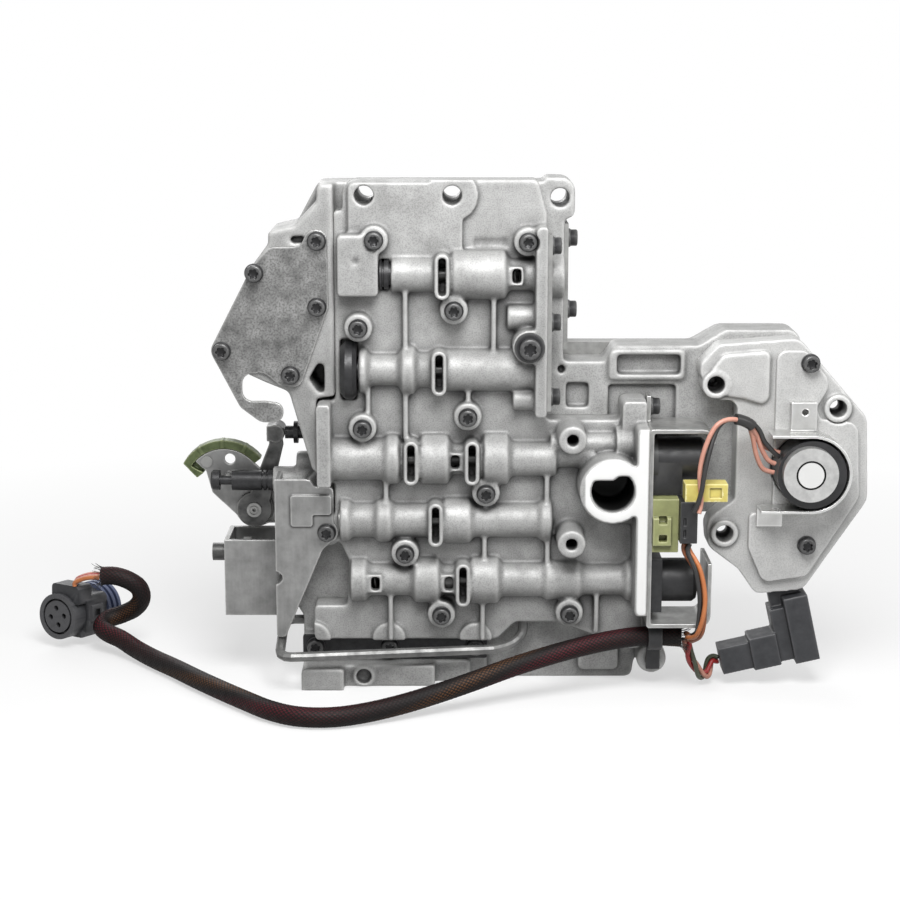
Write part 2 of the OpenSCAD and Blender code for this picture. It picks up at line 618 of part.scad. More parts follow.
module upper_housing() {
  color(cast_grey) difference() {
    union() {
      slab(upper_front, upper_back) upper_shape();
      slab(-lobe_out, upper_front + bury) polygon(rounded(lobe_outline));
      // Ledge and blocks of the lower edge
      slab(-ledge_out, upper_front + bury)
        polygon([[ledge_left, 0], [ledge_right, 0], [ledge_right, ledge_z - 0.3],
          [ledge_left, ledge_z - 0.3]]);
      slab(-22, upper_front + bury) polygon(rounded([[ledge_left, 0, 0], [-54, 0, 0], [-54, block_h, 1],
        [ledge_left, block_h, 2]]));
      slab(-row_y, upper_front + bury) polygon(rounded([[-56, 0, 0], [-7.7, 0, 0], [-7.7, block_h, 1],
        [-56, block_h, 0]]));
      slab(-ledge_out - 3, upper_front + bury)
        polygon([[-9, 0], [10.5, 0], [10.5, block_h], [-9, block_h]]);
      rod_y(-row_y - 1.5, 0, [-44, 5.8], 5.4);
      // Pad and foot on the right
      slab(-3, upper_front + bury) polygon(rounded([[66, 20, 2], [87, 20, 2], [87, 5, 3], [66, 5, 3]]));
      rod_y(-foot_out, upper_front + bury, foot, foot_r);
      // Bosses of the manual valve and of the detent, on the left edge
      rod_x(-91, upper_left + 12, valve_y, manual_z, manual_valve_d / 2 + 2);
      rod_x(-79, -60, valve_y + 2, manual_z + 8.5, 6.5);
      // End of a bore behind the right cover
      rod_x(flange_face + cover_t + 0.4, upper_cover_x, upper_front + 3, row_1_z - 3, 11);
      // Raised frame of the right arm
      slab(upper_front - 2, upper_front + bury)
        polygon(rounded([[80, 172, 3], [118, 172, 2], [118, 157, 2], [80, 157, 2]]));
    }
    screw_cuts(upper_front + screw_reach + 0.5);
    rod_y(-past, upper_front + screw_reach + 0.5, bracket_screw, screw_hole_r);
    rod_y(-past, past, ear_spot, case_hole_r);
    rod_y(-past, past, foot, screw_hole_r);
    for (p = ledge_screws) rod_y(-past, upper_front + screw_reach, p, screw_hole_r);
    for (p = cover_screws) rod_y(-past, -lobe_out + screw_reach + 0.5, p, screw_hole_r);
    for (p = governor_holes) rod_y(-past, past, p, screw_hole_r);
    for (z = upper_cover_screw_z) rod_x(upper_cover_x - end_screw_reach - 1, upper_cover_x + past,
      valve_y, z,
      screw_hole_r);
    rod_x(-92, -10, valve_y, manual_z, manual_valve_d / 2 + valve_gap);
    rod_x(-67, -20, valve_y, kick_z, kick_valve_d / 2 + valve_gap);
    rod_x(upper_left - 1, -30, valve_y, regulator_z, regulator_d / 2 + valve_gap);
    rod_y(-past, -row_y + 3, [-44, 5.8], 3.8);
    // Openings and recesses that show from the front
    slab(-past, upper_front + 6) polygon(rounded([[-62.3, lobe_z - 25, 2], [-62.3, lobe_z - 45, 2],
      [-65, lobe_z - 45, 2],
      [-70, lobe_z - 38, 2]]));
    slab(-past, -lobe_out + 5) polygon(rounded([[-78, lobe_z + 32.5, 1], [-71, lobe_z + 32.5, 1],
      [-71, lobe_z + 29.5, 1], [-78, lobe_z + 29.5, 1]]));
    slab(upper_front - 3, upper_front + 4) {
      polygon(rounded([[84, 169.5, 1], [116, 169.5, 1], [116, 159.5, 1], [84, 159.5, 1]]));
      polygon(rounded([[58.5, 155, 1], [70, 155, 1], [70, 142.5, 1], [58.5, 142.5, 1]]));
      polygon(rounded([[80, 154, 1], [114, 154, 1], [114, 134, 1], [80, 134, 1]]));
      translate([56, 162]) circle(r = 2);
    }
    // Socket of the steel tube in the left edge
    rod_x(pipe_end[0] - 1, pipe_end[0] + 6, pipe_end[1], pipe_end[2], pipe_d / 2 + 0.2);
  }
}
module transfer_shape() {
  polygon(rounded([
    [-63, top_z - 3, 3], [48, top_z - 3, 0], [48, top_z - 1, 4], [61, top_z - 1, 7], [61, top_z - 18, 6],
    [56, top_z - 22, 1], [56, arm_z[1] - 10, 2], [124, arm_z[1] - 10, 4], [138, arm_z[1] - 2, 4],
    [arm_right - 2, arm_z[1] - 2, 6], [arm_right - 2, arm_z[0] + 2, 6], [103, arm_z[0] + 2, 5],
    [103, 24, 4], [95, 12, 3], [93, 0, 3], [-74, 0, 2], [-74, 34, 4], [-79, 41, 3],
    [-79, 96, 3], [-66, 112, 3], [-66, 152, 3],
    [-112, lobe_z - 20, 6], [-86, lobe_z + 28, 6], [-74, lobe_z + 34, 3]
  ]));
}
module through_holes() {
  for (p = case_holes) rod_y(-past, past, p, case_hole_r);
  rod_y(-past, past, ear_spot, case_hole_r);
  rod_y(-past, past, foot, screw_hole_r);
  for (p = governor_holes) if (p[0] < arm_right && p[1] > arm_z[0]) rod_y(-past, past, p, screw_hole_r);
}
module transfer_separator() {
  color(steel_grey) difference() {
    slab(upper_back, transfer_front) transfer_shape();
    through_holes();
  }
}
module transfer_plate() {
  color(bright_grey) difference() {
    union() {
      slab(transfer_front, transfer_back) transfer_shape();
      // Arm that carries the manual shaft
      slab(lever_back + 0.4, transfer_back) {
        translate([pivot_x, pivot_z]) circle(r = manual_shaft_d / 2 + 4.5);
        polygon([[-76, pivot_z - 9], [-76, pivot_z + 9], [pivot_x, pivot_z + 9], [pivot_x, pivot_z - 9]]);
      }
    }
    through_holes();
    rod_y(0, past, [pivot_x, pivot_z], manual_shaft_d / 2 + valve_gap);
    // Oil channels in the face that meets the case
    slab(transfer_back - 5, past) {
      polygon(rounded([[-50, 228, 4], [30, 228, 4], [30, 216, 4], [-50, 216, 4]]));
      polygon(rounded([[-50, 200, 4], [-14, 200, 4], [-14, 168, 4], [-50, 168, 4]]));
      polygon(rounded([[-2, 200, 4], [44, 200, 4], [44, 184, 4], [-2, 184, 4]]));
      polygon(rounded([[-2, 172, 4], [10, 172, 4], [10, 120, 4], [-2, 120, 4]]));
      polygon(rounded([[-50, 150, 4], [-14, 150, 4], [-14, 138, 4], [-50, 138, 4]]));
      polygon(rounded([[24, 166, 4], [110, 166, 4], [110, 152, 4], [24, 152, 4]]));
      polygon(rounded([[24, 136, 4], [88, 136, 4], [88, 60, 4], [76, 60, 4], [76, 124, 4], [24, 124, 4]]));
      polygon(rounded([[-60, 60, 4], [60, 60, 4], [60, 46, 4], [-60, 46, 4]]));
      polygon(rounded([[-56, 30, 4], [40, 30, 4], [40, 16, 4], [-56, 16, 4]]));
      for (p = [[-40, 110], [-40, 88], [26, 94], [52, 94], [134, 140], [156, 160]]) translate(p)
        circle(r = 8);
    }
  }
}

// Screws and covers

module housing_screws() {
  color(black_oxide) {
    for (p = screw_spots) screw_front(p, -seat_out, seat_out + upper_front + screw_reach);
    screw_front(bracket_screw, -web_t - sheet_t, web_t + sheet_t + upper_front + screw_reach);
  }
}
module flange_bolt() {
  color(black_oxide) difference() {
    union() {
      rod_y(-flange_out, upper_front + screw_reach, bolt_spot, bolt_r);
      rod_y(-flange_out - 2, -flange_out, bolt_spot, bolt_washer_d / 2);
      rod_y(-flange_out - 8, -flange_out - 1, bolt_spot, bolt_washer_d / 2 - 2.5);
    }
    translate([bolt_spot[0], -flange_out - 5, bolt_spot[1]]) rotate([90, 0, 0])
      cylinder(h = 8, r = 3, $fn = 6);
  }
}
end_cover_screw_z = [row_1_z + 8.5 + bore_r, (row_1_z + row_2_z) / 2, row_2_z - 8 - bore_r];
end_screw_reach = 8;
module end_cover() {
  color(steel_grey) difference() {
    slab(-flange_out + 2, -4) polygon(rounded([[flange_face, flange_z[1] - 4, 0],
      [flange_face + cover_t, flange_z[1] - 4, 0],
      [flange_face + cover_t, flange_z[0] + 3, 0], [flange_face, flange_z[0] + 3, 0]]));
    for (z = end_cover_screw_z) rod_x(0, past + flange_face, -row_y, z, screw_hole_r);
  }
}
module upper_end_cover() {
  color(steel_grey) difference() {
    box([upper_cover_x, upper_cover_x + cover_t], [upper_front + 1, upper_back - 1], upper_cover_z);
    for (z = upper_cover_screw_z) rod_x(0, past + upper_cover_x, valve_y, z, screw_hole_r);
  }
}
module end_screws() {
  color(black_oxide) {
    for (z = end_cover_screw_z) screw_right(-row_y, z, flange_face + cover_t, end_screw_reach);
    for (z = upper_cover_screw_z) screw_right(valve_y, z, upper_cover_x + cover_t, end_screw_reach);
    screw_right(lug_screw_y, lug_screw_z, strip_face + cover_t, end_screw_reach);
  }
}
module side_cover() {
  color(steel_grey) difference() {
    slab(-lobe_out - cover_t, -lobe_out) polygon(rounded(cover_outline));
    for (p = cover_screws) rod_y(-past, past, p, screw_hole_r);
  }
}
module side_cover_screws() {
  color(black_oxide) for (p = cover_screws) screw_front(p, -lobe_out - cover_t, cover_t + screw_reach);
}
module ledge_strip() {
  color(dark_steel) difference() {
    slab(-ledge_out - cover_t, -ledge_out)
      polygon(rounded([[ledge_left, ledge_z - 0.3, 1], [ledge_right, ledge_z - 0.3, 1],
        [ledge_right, block_h + 1, 1],
        [ledge_left, block_h + 1, 1]]));
    for (p = ledge_screws) rod_y(-past, past, p, screw_hole_r);
  }
}
module ledge_strip_screws() {
  color(black_oxide) for (p = ledge_screws) screw_front(p, -ledge_out - cover_t,
    cover_t + ledge_out + screw_reach);
}

// Valves, plugs and springs of the front casting

plug_1_r = 7.4;
plug_2_r = row_y - 0.4;
module first_row_plug() {
  color(black_oxide) turned_x(-row_y, row_1_z, [
    [0, -35], [plug_1_r - 1, -35], [plug_1_r, -34.4], [plug_1_r, -33.4], [plug_1_r - 1.2, -33.2],
      [plug_1_r - 1.2, -32.4],
    [plug_1_r, -32.2], [plug_1_r, -30], [land_r, -30], [land_r, -22], [0, -22]
  ]);
}
module second_row_plug() {
  color(black_oxide) turned_x(-row_y, row_2_z, [
    [0, -54], [plug_2_r - 2.5, -54], [plug_2_r, -51.5], [plug_2_r, -48], [plug_2_r - 2, -46], [land_r, -46],
    [land_r, -38], [0, -38]
  ]);
}
module lower_row_plugs() {
  color(steel_grey) {
    rod_x(-66, -60, -row_y, row_3_z, land_r);
    rod_x(-55.8, -50, -row_y, row_4_z, land_r);
  }
}
module spool(row, lands) {
  color(steel_grey) turned_x(-row_y, row[0], spool_profile(lands, land_r, stem_r));
}
module limit_valve() {
  spool(rows[0], [[-22, -12], [-1, 8], [14, 20]]);
}
module shuttle_valve() {
  spool(rows[1], [[-38, -26], [-14, -8], [-2, 8], [12, 18]]);
}
module upshift_valve() {
  spool(rows[2], [[-60, -42], [-30, -22], [-16, -2], [5, 9], [14, 24]]);
}
module downshift_valve() {
  spool(rows[3], [[-50, -40], [-30, -12], [-4, 6], [12, 20]]);
}
module clutch_valve() {
  spool(rows[4], [[-20, -8], [-3, 3], [9, 20], [40, 52], [62, 70]]);
}
module row_spring(row, x0, x1) {
  color(dark_steel) spring_x(x0, x1, -row_y, row[0], land_r - 0.5, spring_wire, spring_turns);
}
module limit_spring() {
  row_spring(rows[0], 20, flange_face);
}
module shuttle_spring() {
  row_spring(rows[1], 18, flange_face);
}
module upshift_spring() {
  row_spring(rows[2], 24, rows[2][1][1] + 1);
}
module downshift_spring() {
  row_spring(rows[3], 20, rows[3][1][1] + 1);
}
module clutch_spring() {
  row_spring(rows[4], rows[4][1][0], -20);
}

// Adjusting bracket and regulator

module bracket_sheet_shape() {
  polygon(rounded([[bracket_left, 109, 2], [bracket_left, 27, 1], [bracket_left + 4.5, 27, 1],
    [-64, 73, 2], [-58.5, 78, 3],
    [-58.5, 105, 2], [-68, 105.5, 1], [-70, 109, 2]]));
  translate(bracket_screw) circle(r = lug_r);
}
module adjusting_bracket() {
  front = -web_t - sheet_t;
  color(steel_grey) difference() {
    union() {
      slab(front, -web_t) bracket_sheet_shape();
      // Stepped pad by the screw
      slab(front - 1, -web_t) polygon(rounded([[-80, 101, 1], [-59.5, 101, 1], [-59.5, 91, 1],
        [-69, 91, 1], [-69, 85, 1],
        [-80, 85, 1]]));
      // Flange that folds back, and the open box of the spring
      box([bracket_left, bracket_left + sheet_t], [front, box_front + sheet_t], [box_z[0], 109]);
      box([box_left, bracket_left + sheet_t], [box_front, box_front + sheet_t], box_z);
      box([box_left, box_left + sheet_t], [box_front, box_front + box_depth], box_z);
      box([box_left, bracket_left + sheet_t], [box_front + box_depth - sheet_t, box_front + box_depth],
        box_z);
    }
    rod_y(-past, 0, bracket_screw, screw_hole_r);
    rod_x(box_left - 1, box_left + sheet_t + 1, valve_y, regulator_z, pressure_screw_d / 2 + valve_gap);
    slab(-past, 0) translate([bracket_left, 58]) circle(r = 3.2);
  }
}
seat_x = [-107, -103];
module line_pressure_screw() {
  color(steel_grey) difference() {
    union() {
      rod_x(box_left, -94, valve_y, regulator_z, pressure_screw_d / 2);
      rod_x(box_left - 7, box_left, valve_y, regulator_z, pressure_screw_d / 2 + 1.6);
    }
    translate([box_left - 8, valve_y, regulator_z]) rotate([0, 90, 0]) cylinder(h = 4, r = 2, $fn = 6);
  }
}
module spring_seat() {
  color(steel_grey) difference() {
    rod_x(seat_x[0], seat_x[1], valve_y, regulator_z, regulator_d / 2 + 0.6);
    rod_x(seat_x[0] - 1, seat_x[1] + 1, valve_y, regulator_z, pressure_screw_d / 2 + valve_gap);
  }
}
regulator_rest = -84;
module regulator_valve() {
  color(steel_grey) turned_x(valve_y, regulator_z,
    spool_profile([[regulator_rest, -72], [-64, -56], [-46, -30.1]], regulator_d / 2, regulator_d * 0.28));
}
module regulator_spring() {
  color(dark_steel) spring_x(seat_x[1], regulator_rest, valve_y, regulator_z, regulator_d / 2,
    spring_wire + 0.3, 5);
}

// Levers, shafts and the two valves that they push

manual_z = 102;
kick_z = 127.3;
throttle_front = valve_y + manual_valve_d / 2 + 2.4;
lever_front = throttle_front + throttle_t + 0.5;
lever_back = lever_front + lever_t;
pin_x = -115.4;
pin_r = 2;
groove_half = pin_r + 1.2;
cam_spot = [-117.6, 96];
cam_t = 4.4;
cam_from = 38;
cam_to = 150;
cam_ribs = [62, 92, 122];
cam_rivet_spot = [-126.4, 109.5];
cam_rivet_r = 1.8;
pivot = [pivot_x, pivot_z];
function arc(spot, r, from, to, steps) =
  [for (i = [0 : steps]) spot + r * [cos(from + (to - from) * i / steps),
    sin(from + (to - from) * i / steps)]];
module manual_lever() {
  color(steel_grey) difference() {
    union() {
      slab(lever_front, lever_back) {
        polygon(concat(arc(cam_spot, cam_r - cam_t - 0.1, cam_from, cam_to - 12, 12),
          [[-127, 104.4], [-124, 93], [pivot_x - 8, pivot_z - 5], [pivot_x, pivot_z - 6],
            [pivot_x + 8.5, pivot_z + 3], [-97, 104]]));
        translate(pivot) circle(d = hub_d + 1);
      }
      // Stub that drives the manual valve by its groove
      rod_y(valve_y + stub_depth, lever_front + 1, [pin_x, manual_z], pin_r);
    }
    rod_y(0, past, pivot, throttle_shaft_d / 2 + 0.1);
    rod_y(0, past, cam_rivet_spot, cam_rivet_r + 0.05);
    rod_y(lever_front - 1, past, [-114.5, 110.8], 2.8);
  }
}
stub_depth = 3;
manual_shaft_end = transfer_back + 24;
module manual_shaft() {
  color(steel_grey) difference() {
    rod_y(lever_back, manual_shaft_end, pivot, manual_shaft_d / 2);
    rod_y(0, manual_shaft_end + past, pivot, throttle_shaft_d / 2 + 0.1);
    // Flats for the lever outside the case
    for (side = [-1, 1]) translate([pivot_x, manual_shaft_end - 6, pivot_z + side * (manual_shaft_d * 0.9)])
      cube([past, 14, manual_shaft_d], center = true);
  }
}
module lever_cam() {
  color(olive) difference() {
    union() {
      // Detent face with a tail at its outer end
      slab(lever_front, lever_back + 4.5) polygon(concat(
        arc(cam_spot, cam_r, cam_from, cam_to, 14),
        [cam_spot + [0.56 - cam_r * 0.6, 4.7], cam_spot + [3.6 - cam_r * 0.58, 7.4],
          cam_spot + [-cam_r * 0.62, 9.8]],
        arc(cam_spot, cam_r - cam_t, cam_to - 3, cam_from, 14)
      ));
      // Ribs between the gates
      for (a = cam_ribs)
        slab(lever_front - 0.3, lever_back + 4.5) translate(cam_spot) rotate(a)
          translate([cam_r - cam_t + 0.2, -0.7]) square([cam_t, 1.4]);
      slab(lever_back, lever_back + 2.5) {
        translate(cam_rivet_spot) circle(r = 5);
        polygon(concat(arc(cam_spot, cam_r - 1, 96, cam_to, 6), arc(cam_spot, 13, cam_to, 96, 6)));
      }
    }
    rod_y(0, past, cam_rivet_spot, cam_rivet_r + 0.05);
  }
}
module cam_rivet() {
  color(bright_grey) {
    rod_y(lever_front - 1, lever_front, cam_rivet_spot, cam_rivet_r + 1.2);
    rod_y(lever_front - 0.5, lever_back + 2.5, cam_rivet_spot, cam_rivet_r);
  }
}
kick_rest = -84.5;
kick_pad_r = 4.6;
module throttle_lever() {
  pad = [kick_rest - 0.1 - kick_pad_r, kick_z];
  color(dark_steel) difference() {
    union() {
      slab(throttle_front, throttle_front + throttle_t) {
        translate(pivot) circle(d = hub_d);
        polygon([[pivot_x - 3.5, pivot_z + 5], [pad[0] - 4.5, pad[1] - 8], [pad[0] - 4.5, pad[1] + 4],
          [pad[0] + 1, pad[1] + 4], [pad[0] + 3, pad[1] - 8], [pivot_x + 8, pivot_z + 3]]);
      }
      slab(valve_y - 5, throttle_front + throttle_t) {
        translate(pad) circle(r = kick_pad_r);
        translate([pad[0] - 4.5, pad[1] - 4]) square([4.5, 8]);
      }
    }
    rod_y(0, past, pivot, throttle_shaft_d / 2 - 1);
  }
}
module throttle_shaft() {
  color(bright_grey) difference() {
    union() {
      rod_y(throttle_front + throttle_t, manual_shaft_end + 16, pivot, throttle_shaft_d / 2);
      rod_y(throttle_front - 1.4, throttle_front + throttle_t + 1, pivot,
        throttle_shaft_d / 2 - 1 - valve_gap);
      rod_y(throttle_front - 1.4, throttle_front, pivot, throttle_shaft_d / 2 + 0.3);
    }
    // Centre hole and the groove of the riveted end
    rod_y(0, throttle_front + 1, pivot, throttle_shaft_d * 0.14);
    difference() {
      rod_y(0, throttle_front - 0.7, pivot, throttle_shaft_d * 0.36);
      rod_y(0, past, pivot, throttle_shaft_d * 0.27);
    }
  }
}
module manual_valve() {
  r = manual_valve_d / 2;
  neck = 2.4;
  color(black_oxide) turned_x(valve_y, manual_z, [
    [0, -123], [r - 1, -123], [r, -122], [r, pin_x - groove_half], [neck, pin_x - groove_half],
    [neck, pin_x + groove_half], [r, pin_x + groove_half], [r, -97], [r - 1, -97], [r - 1, -96], [r, -96],
      [r, -94.5],
    [r - 1, -94.5], [r - 1, -93.5], [r, -93.5], [r, -62], [r - 2.4, -62], [r - 2.4, -50], [r, -50],
      [r, -30], [0, -30]
  ]);
}
module kickdown_valve() {
  r = kick_valve_d / 2;
  color(black_oxide) turned_x(valve_y, kick_z, [
    [0, kick_rest], [3.3, kick_rest], [3.3, -80], [5.7, -80], [5.7, -77.8], [3.3, -77.8], [3.3, -64],
      [r, -64], [r, -54],
    [r - 1.8, -54], [r - 1.8, -44], [r, -44], [r, -32], [0, -32]
  ]);
}

// Steel tube, solenoids and their bracket

module pressure_tube() {
  color(steel_grey) sweep(pipe_route, pipe_d / 2, 10);
}
module solenoid_bracket() {
  t = cover_t;
  color(steel_grey) difference() {
    union() {
      slab(frame_y[0], frame_y[1]) difference() {
        polygon(rounded([[strip_face, frame_z[1], 1], [frame_right, frame_z[1], frame_bend],
          [frame_right, frame_z[0], frame_bend],
          [strip_face, frame_z[0], 1]]));
        polygon(rounded([[strip_face + t, frame_z[1] - t, 1],
          [frame_right - t, frame_z[1] - t, frame_bend - t],
          [frame_right - t, frame_z[0] + t, frame_bend - t], [strip_face + t, frame_z[0] + t, 1]]));
        // Open side that lets the leads out
        translate([frame_right - frame_bend, row_5_z + 13])
          square([past, frame_z[1] - frame_bend - 1 - row_5_z - 13]);
      }
      box([strip_face, strip_face + t], [lug_screw_y - 6, lug_screw_y + 6],
        [frame_z[1] - 1, lug_screw_z + 6]);
    }
    for (z = [row_3_z, row_5_z]) rod_x(strip_face - 1, strip_face + t + 1, -row_y, z, nozzle_r + 0.1);
    rod_x(strip_face - 1, strip_face + t + 1, lug_screw_y, lug_screw_z, screw_hole_r);
  }
}
// Solenoid on a nozzle that enters the casting
module small_solenoid(z, length, nozzle_end) {
  start = strip_face + cover_t;
  color(black_plastic) turned_x(-row_y, z, [
    [0, nozzle_end], [nozzle_r, nozzle_end], [nozzle_r, start], [solenoid_d / 2, start],
      [solenoid_d / 2, start + 3],
    [solenoid_d / 2 - 1.5, start + 3], [solenoid_d / 2 - 1.5, start + length - 2],
      [solenoid_d / 2 - 3, start + length],
    [0, start + length]
  ]);
}
module overdrive_solenoid() {
  start = strip_face + cover_t;
  small_solenoid(row_3_z, 27, strip_x - 5);
  color(black_plastic) box([start, start + 15], [-row_y - 11, -row_y + 10],
    [connector_z[1] + 0.5, row_3_z]);
}
module lockup_solenoid() {
  start = strip_face + cover_t;
  small_solenoid(row_5_z, 24, 70.2);
  color(black_plastic)
    box([start, start + 6], [-row_y - 13, -row_y + 12], [row_5_z - 13.5, row_5_z + 13.5]);
}
connector_z = [76, 103];
connector_front = -40;
module solenoid_connector() {
  x0 = strip_face + cover_t;
  color(olive) difference() {
    union() {
      box([x0, x0 + 13], [connector_front + 6, -24], connector_z);
      box([x0, x0 + 9], [connector_front + 3, -24], [connector_z[0] + 4, connector_z[1] - 9]);
    }
    for (z = [connector_z[0] + 6, connector_z[0] + 15])
      box([x0 + 3, x0 + 7], [-past, connector_front + 8], [z, z + 3.5]);
  }
}
module connector_clip() {
  x0 = strip_face + cover_t + 13;
  color(black_plastic) difference() {
    box([x0, x0 + 8.5], [connector_front, -24], [connector_z[0] + 6, connector_z[1]]);
    for (z = [connector_z[0] + 9, connector_z[0] + 15])
      box([x0 + 1.5, x0 + 3], [-past, connector_front + 1], [z, z + 4]);
  }
}
module terminal_tag() {
  x0 = strip_face + cover_t + 15;
  color(yellow) difference() {
    box([x0, x0 + 21], [connector_front, -29], [connector_z[1], connector_z[1] + 9]);
    box([x0 + 12, x0 + 18], [-past, connector_front + 1], [connector_z[1] + 2, connector_z[1] + 7]);
  }
}

// Governor casting with its solenoid and sensor

module governor_body() {
  color(cast_grey) difference() {
    union() {
      slab(governor_front, upper_front) polygon(rounded(governor_outline));
      for (p = governor_holes) rod_y(governor_front - 2.5, upper_front - 1, p, governor_boss_r);
      // Shoulder between the upper boss and the cover
      slab(governor_front - 2, governor_front + 1)
        polygon(rounded([[127, 161, 5], [135, 172, 5], [158.5, 174, 3], [158.5, 146, 4], [146, 150, 5],
          [138, 151, 4]]));
    }
    for (p = governor_holes) {
      rod_y(-past, governor_front + governor_t * 0.6, p, screw_hole_r + 1.6);
      rod_y(-past, past, p, screw_hole_r);
    }
    for (p = governor_cover_screws) rod_y(-past, governor_front + screw_reach + 0.5, p, screw_hole_r);
    rod_y(-past, governor_front + 6, solenoid_spot, governor_solenoid_d / 2 + 0.3);
    // Slot that takes the sensor
    at_sensor() box([-8.4, 8.4], [-9.4, -1.6], [-6, 8.1]);
  }
}
module governor_cover() {
  color(bright_grey) difference() {
    slab(governor_seat, governor_front) polygon(rounded(governor_cover_outline));
    rod_y(-past, past, solenoid_spot, governor_solenoid_d / 2 + 0.3);
    for (p = governor_holes) rod_y(-past, past, p, governor_boss_r + 0.6);
    for (p = governor_cover_screws) rod_y(-past, past, p, screw_hole_r);
  }
}
module governor_screws() {
  color(black_oxide) for (p = governor_cover_screws)
    screw_front(p, governor_seat, screw_reach + governor_front - governor_seat);
}
module governor_solenoid() {
  color(black_plastic) difference() {
    union() {
      rod_y(-solenoid_out + 6, governor_front + 6, solenoid_spot, governor_solenoid_d / 2);
      rod_y(-solenoid_out, -solenoid_out + 7, cap_spot, governor_cap_d / 2);
    }
    difference() {
      rod_y(-past, -solenoid_out + 1.5, cap_spot, governor_cap_d * 0.27);
      rod_y(-past, past, cap_spot, governor_cap_d * 0.235);
    }
  }
}
strap_gap = 1.2;
module strap_shape(grow) {
  r = governor_solenoid_d / 2 + strap_gap + grow;
  translate(solenoid_spot) {
    circle(r = r);
    translate([-past, -r]) square([past, r * 2]);
  }
}
module solenoid_strap() {
  front = -solenoid_out + 6;
  seat = governor_seat;
  tab_x = [solenoid_spot[0] - 9.5, solenoid_spot[0] + 3.5];
  foot_x = [solenoid_spot[0] - 24.5, solenoid_spot[0] - 11.5];
  r = governor_solenoid_d / 2 + strap_gap;
  top = solenoid_spot[1] + r;
  color(steel_grey) {
    difference() {
      slab(front, seat) strap_shape(strap_t);
      slab(front - 1, seat + 1) strap_shape(0);
      // Ends of the two legs
      box([0, solenoid_spot[0] - 20], [-past, past], [solenoid_spot[1], top + past]);
      box([0, foot_x[0]], [-past, past], [solenoid_spot[1] - r - past, solenoid_spot[1] + 1]);
    }
    // Foot that lies on the cover
    box(foot_x, [seat - strap_t, seat], [solenoid_spot[1] - r - strap_t - 10,
      solenoid_spot[1] - r - strap_t / 2]);
    // Folded tab on the flat of the strap
    difference() {
      union() {
        box(tab_x, [seat - 5, seat - 5 + strap_t], [top + strap_t / 2, top + 16]);
        box(tab_x, [seat - 5, seat], [top + 16 - strap_t, top + 16]);
      }
      rod_y(-past, past, [solenoid_spot[0] - 2.5, top + 11], 1.6);
    }
  }
}
sensor_tilt = 13;
sensor_spot = [170, 50];
module at_sensor() {
  translate([sensor_spot[0], 0, sensor_spot[1]]) rotate([0, -sensor_tilt, 0]) children();
}
module sensor_connector() {
  color(black_plastic) at_sensor() {
    box([-8, 8], [-9, -2], [-9, 8]);
    box([-9.5, 9.5], [-14, 2], [-36, -8]);
    box([-2, 10.5], [-17, 2.5], [-38, -3]);
    box([-23, -9], [-16, 0], [-37, -20]);
    box([-39, -22], [-14.5, -1.5], [-36, -22]);
  }
}

// Harness

module harness_clip() {
  x = [clip_spot[0] - 4, clip_spot[0] + 3];
  color(black_plastic) difference() {
    union() {
      rod_x(x[0], x[1], clip_spot[1], clip_spot[2], sleeve_d / 2 + 2.2);
      box(x, [-foot_out - 2, -foot_out], [foot[1] - 5, clip_spot[2]]);
    }
    rod_x(x[0] - 1, x[1] + 1, clip_spot[1], clip_spot[2], sleeve_d / 2 + 0.3);
  }
}
module harness_sleeve() {
  color([0.2, 0.16, 0.15]) sweep(smooth(sleeve_points, 3), sleeve_d / 2, 10);
}
module connector_leads() {
  drop = [[-0.8, 0, 0], [-3, 0.1, 0.1], [-7.5, 0.8, -0.4], [-11.5, 1.8, -1.8], [-14.6, 2.7, -3.6],
    [-14.8, 2.8, -5.4]];
  color(orange) for (k = [0 : 3])
    sweep([for (d = drop) sleeve_end + d + [0, (k - 1.5) * (lead_d + 0.2), 0]], lead_d / 2, 8);
}
// Connector's own frame: its face looks along -Y and its body runs along +Y
module at_connector() {
  translate(connector_at) rotate([0, 0, -connector_turn]) rotate([-connector_lean, 0, 0]) children();
}
module case_connector() {
  r = connector_r;
  color(black_plastic) at_connector() difference() {
    union() {
      rod_y(0, connector_long, [0, 0], r);
      // Shell that widens behind the round face
      slab(9, connector_long) polygon(rounded([[-r * 0.9, r * 0.88, 3], [r * 1.02, r * 0.88, 3],
        [r * 1.02, -r * 0.98, 4],
        [-r * 0.9, -r * 0.98, 4]]));
      // Hood that takes the wires, and the latch on the flank
      slab(2.5, 13.5) polygon(rounded([[-6, r * 0.6, 0], [-6, 17.6, 2], [12.4, 17.6, 2],
        [12.4, r * 0.6, 0]]));
      slab(12, 21) polygon(rounded([[r, 6, 1], [r + 2, 6, 1], [r + 2, -3, 1], [r, -3, 1]]));
    }
    // Groove round the insert, and its sockets
    difference() {
      rod_y(-1, 3, [0, 0], r - 2.6);
      rod_y(-2, 4, [0, 0], r - 3.8);
    }
    for (a = [10, 100, 190, 280]) rod_y(-1, 9, 4.6 * [cos(a), sin(a)], 1.5);
    // Window of the latch
    slab(14.5, 18.5) translate([r + 0.8, 0]) square([4, 3.4]);
  }
}
module connector_seal() {
  color([0.25, 0.30, 0.45]) at_connector() union() {
    rod_y(connector_long, connector_long + 2.2, [0, 0], connector_r + 2);
    rod_y(connector_long, connector_long + seal_long, [0, 0], connector_r + 0.6);
    rod_y(connector_long + 4.2, connector_long + 6.4, [0, 0], connector_r + 2);
    rod_y(connector_long + 8.4, connector_long + 10.6, [0, 0], connector_r + 2);
  }
}
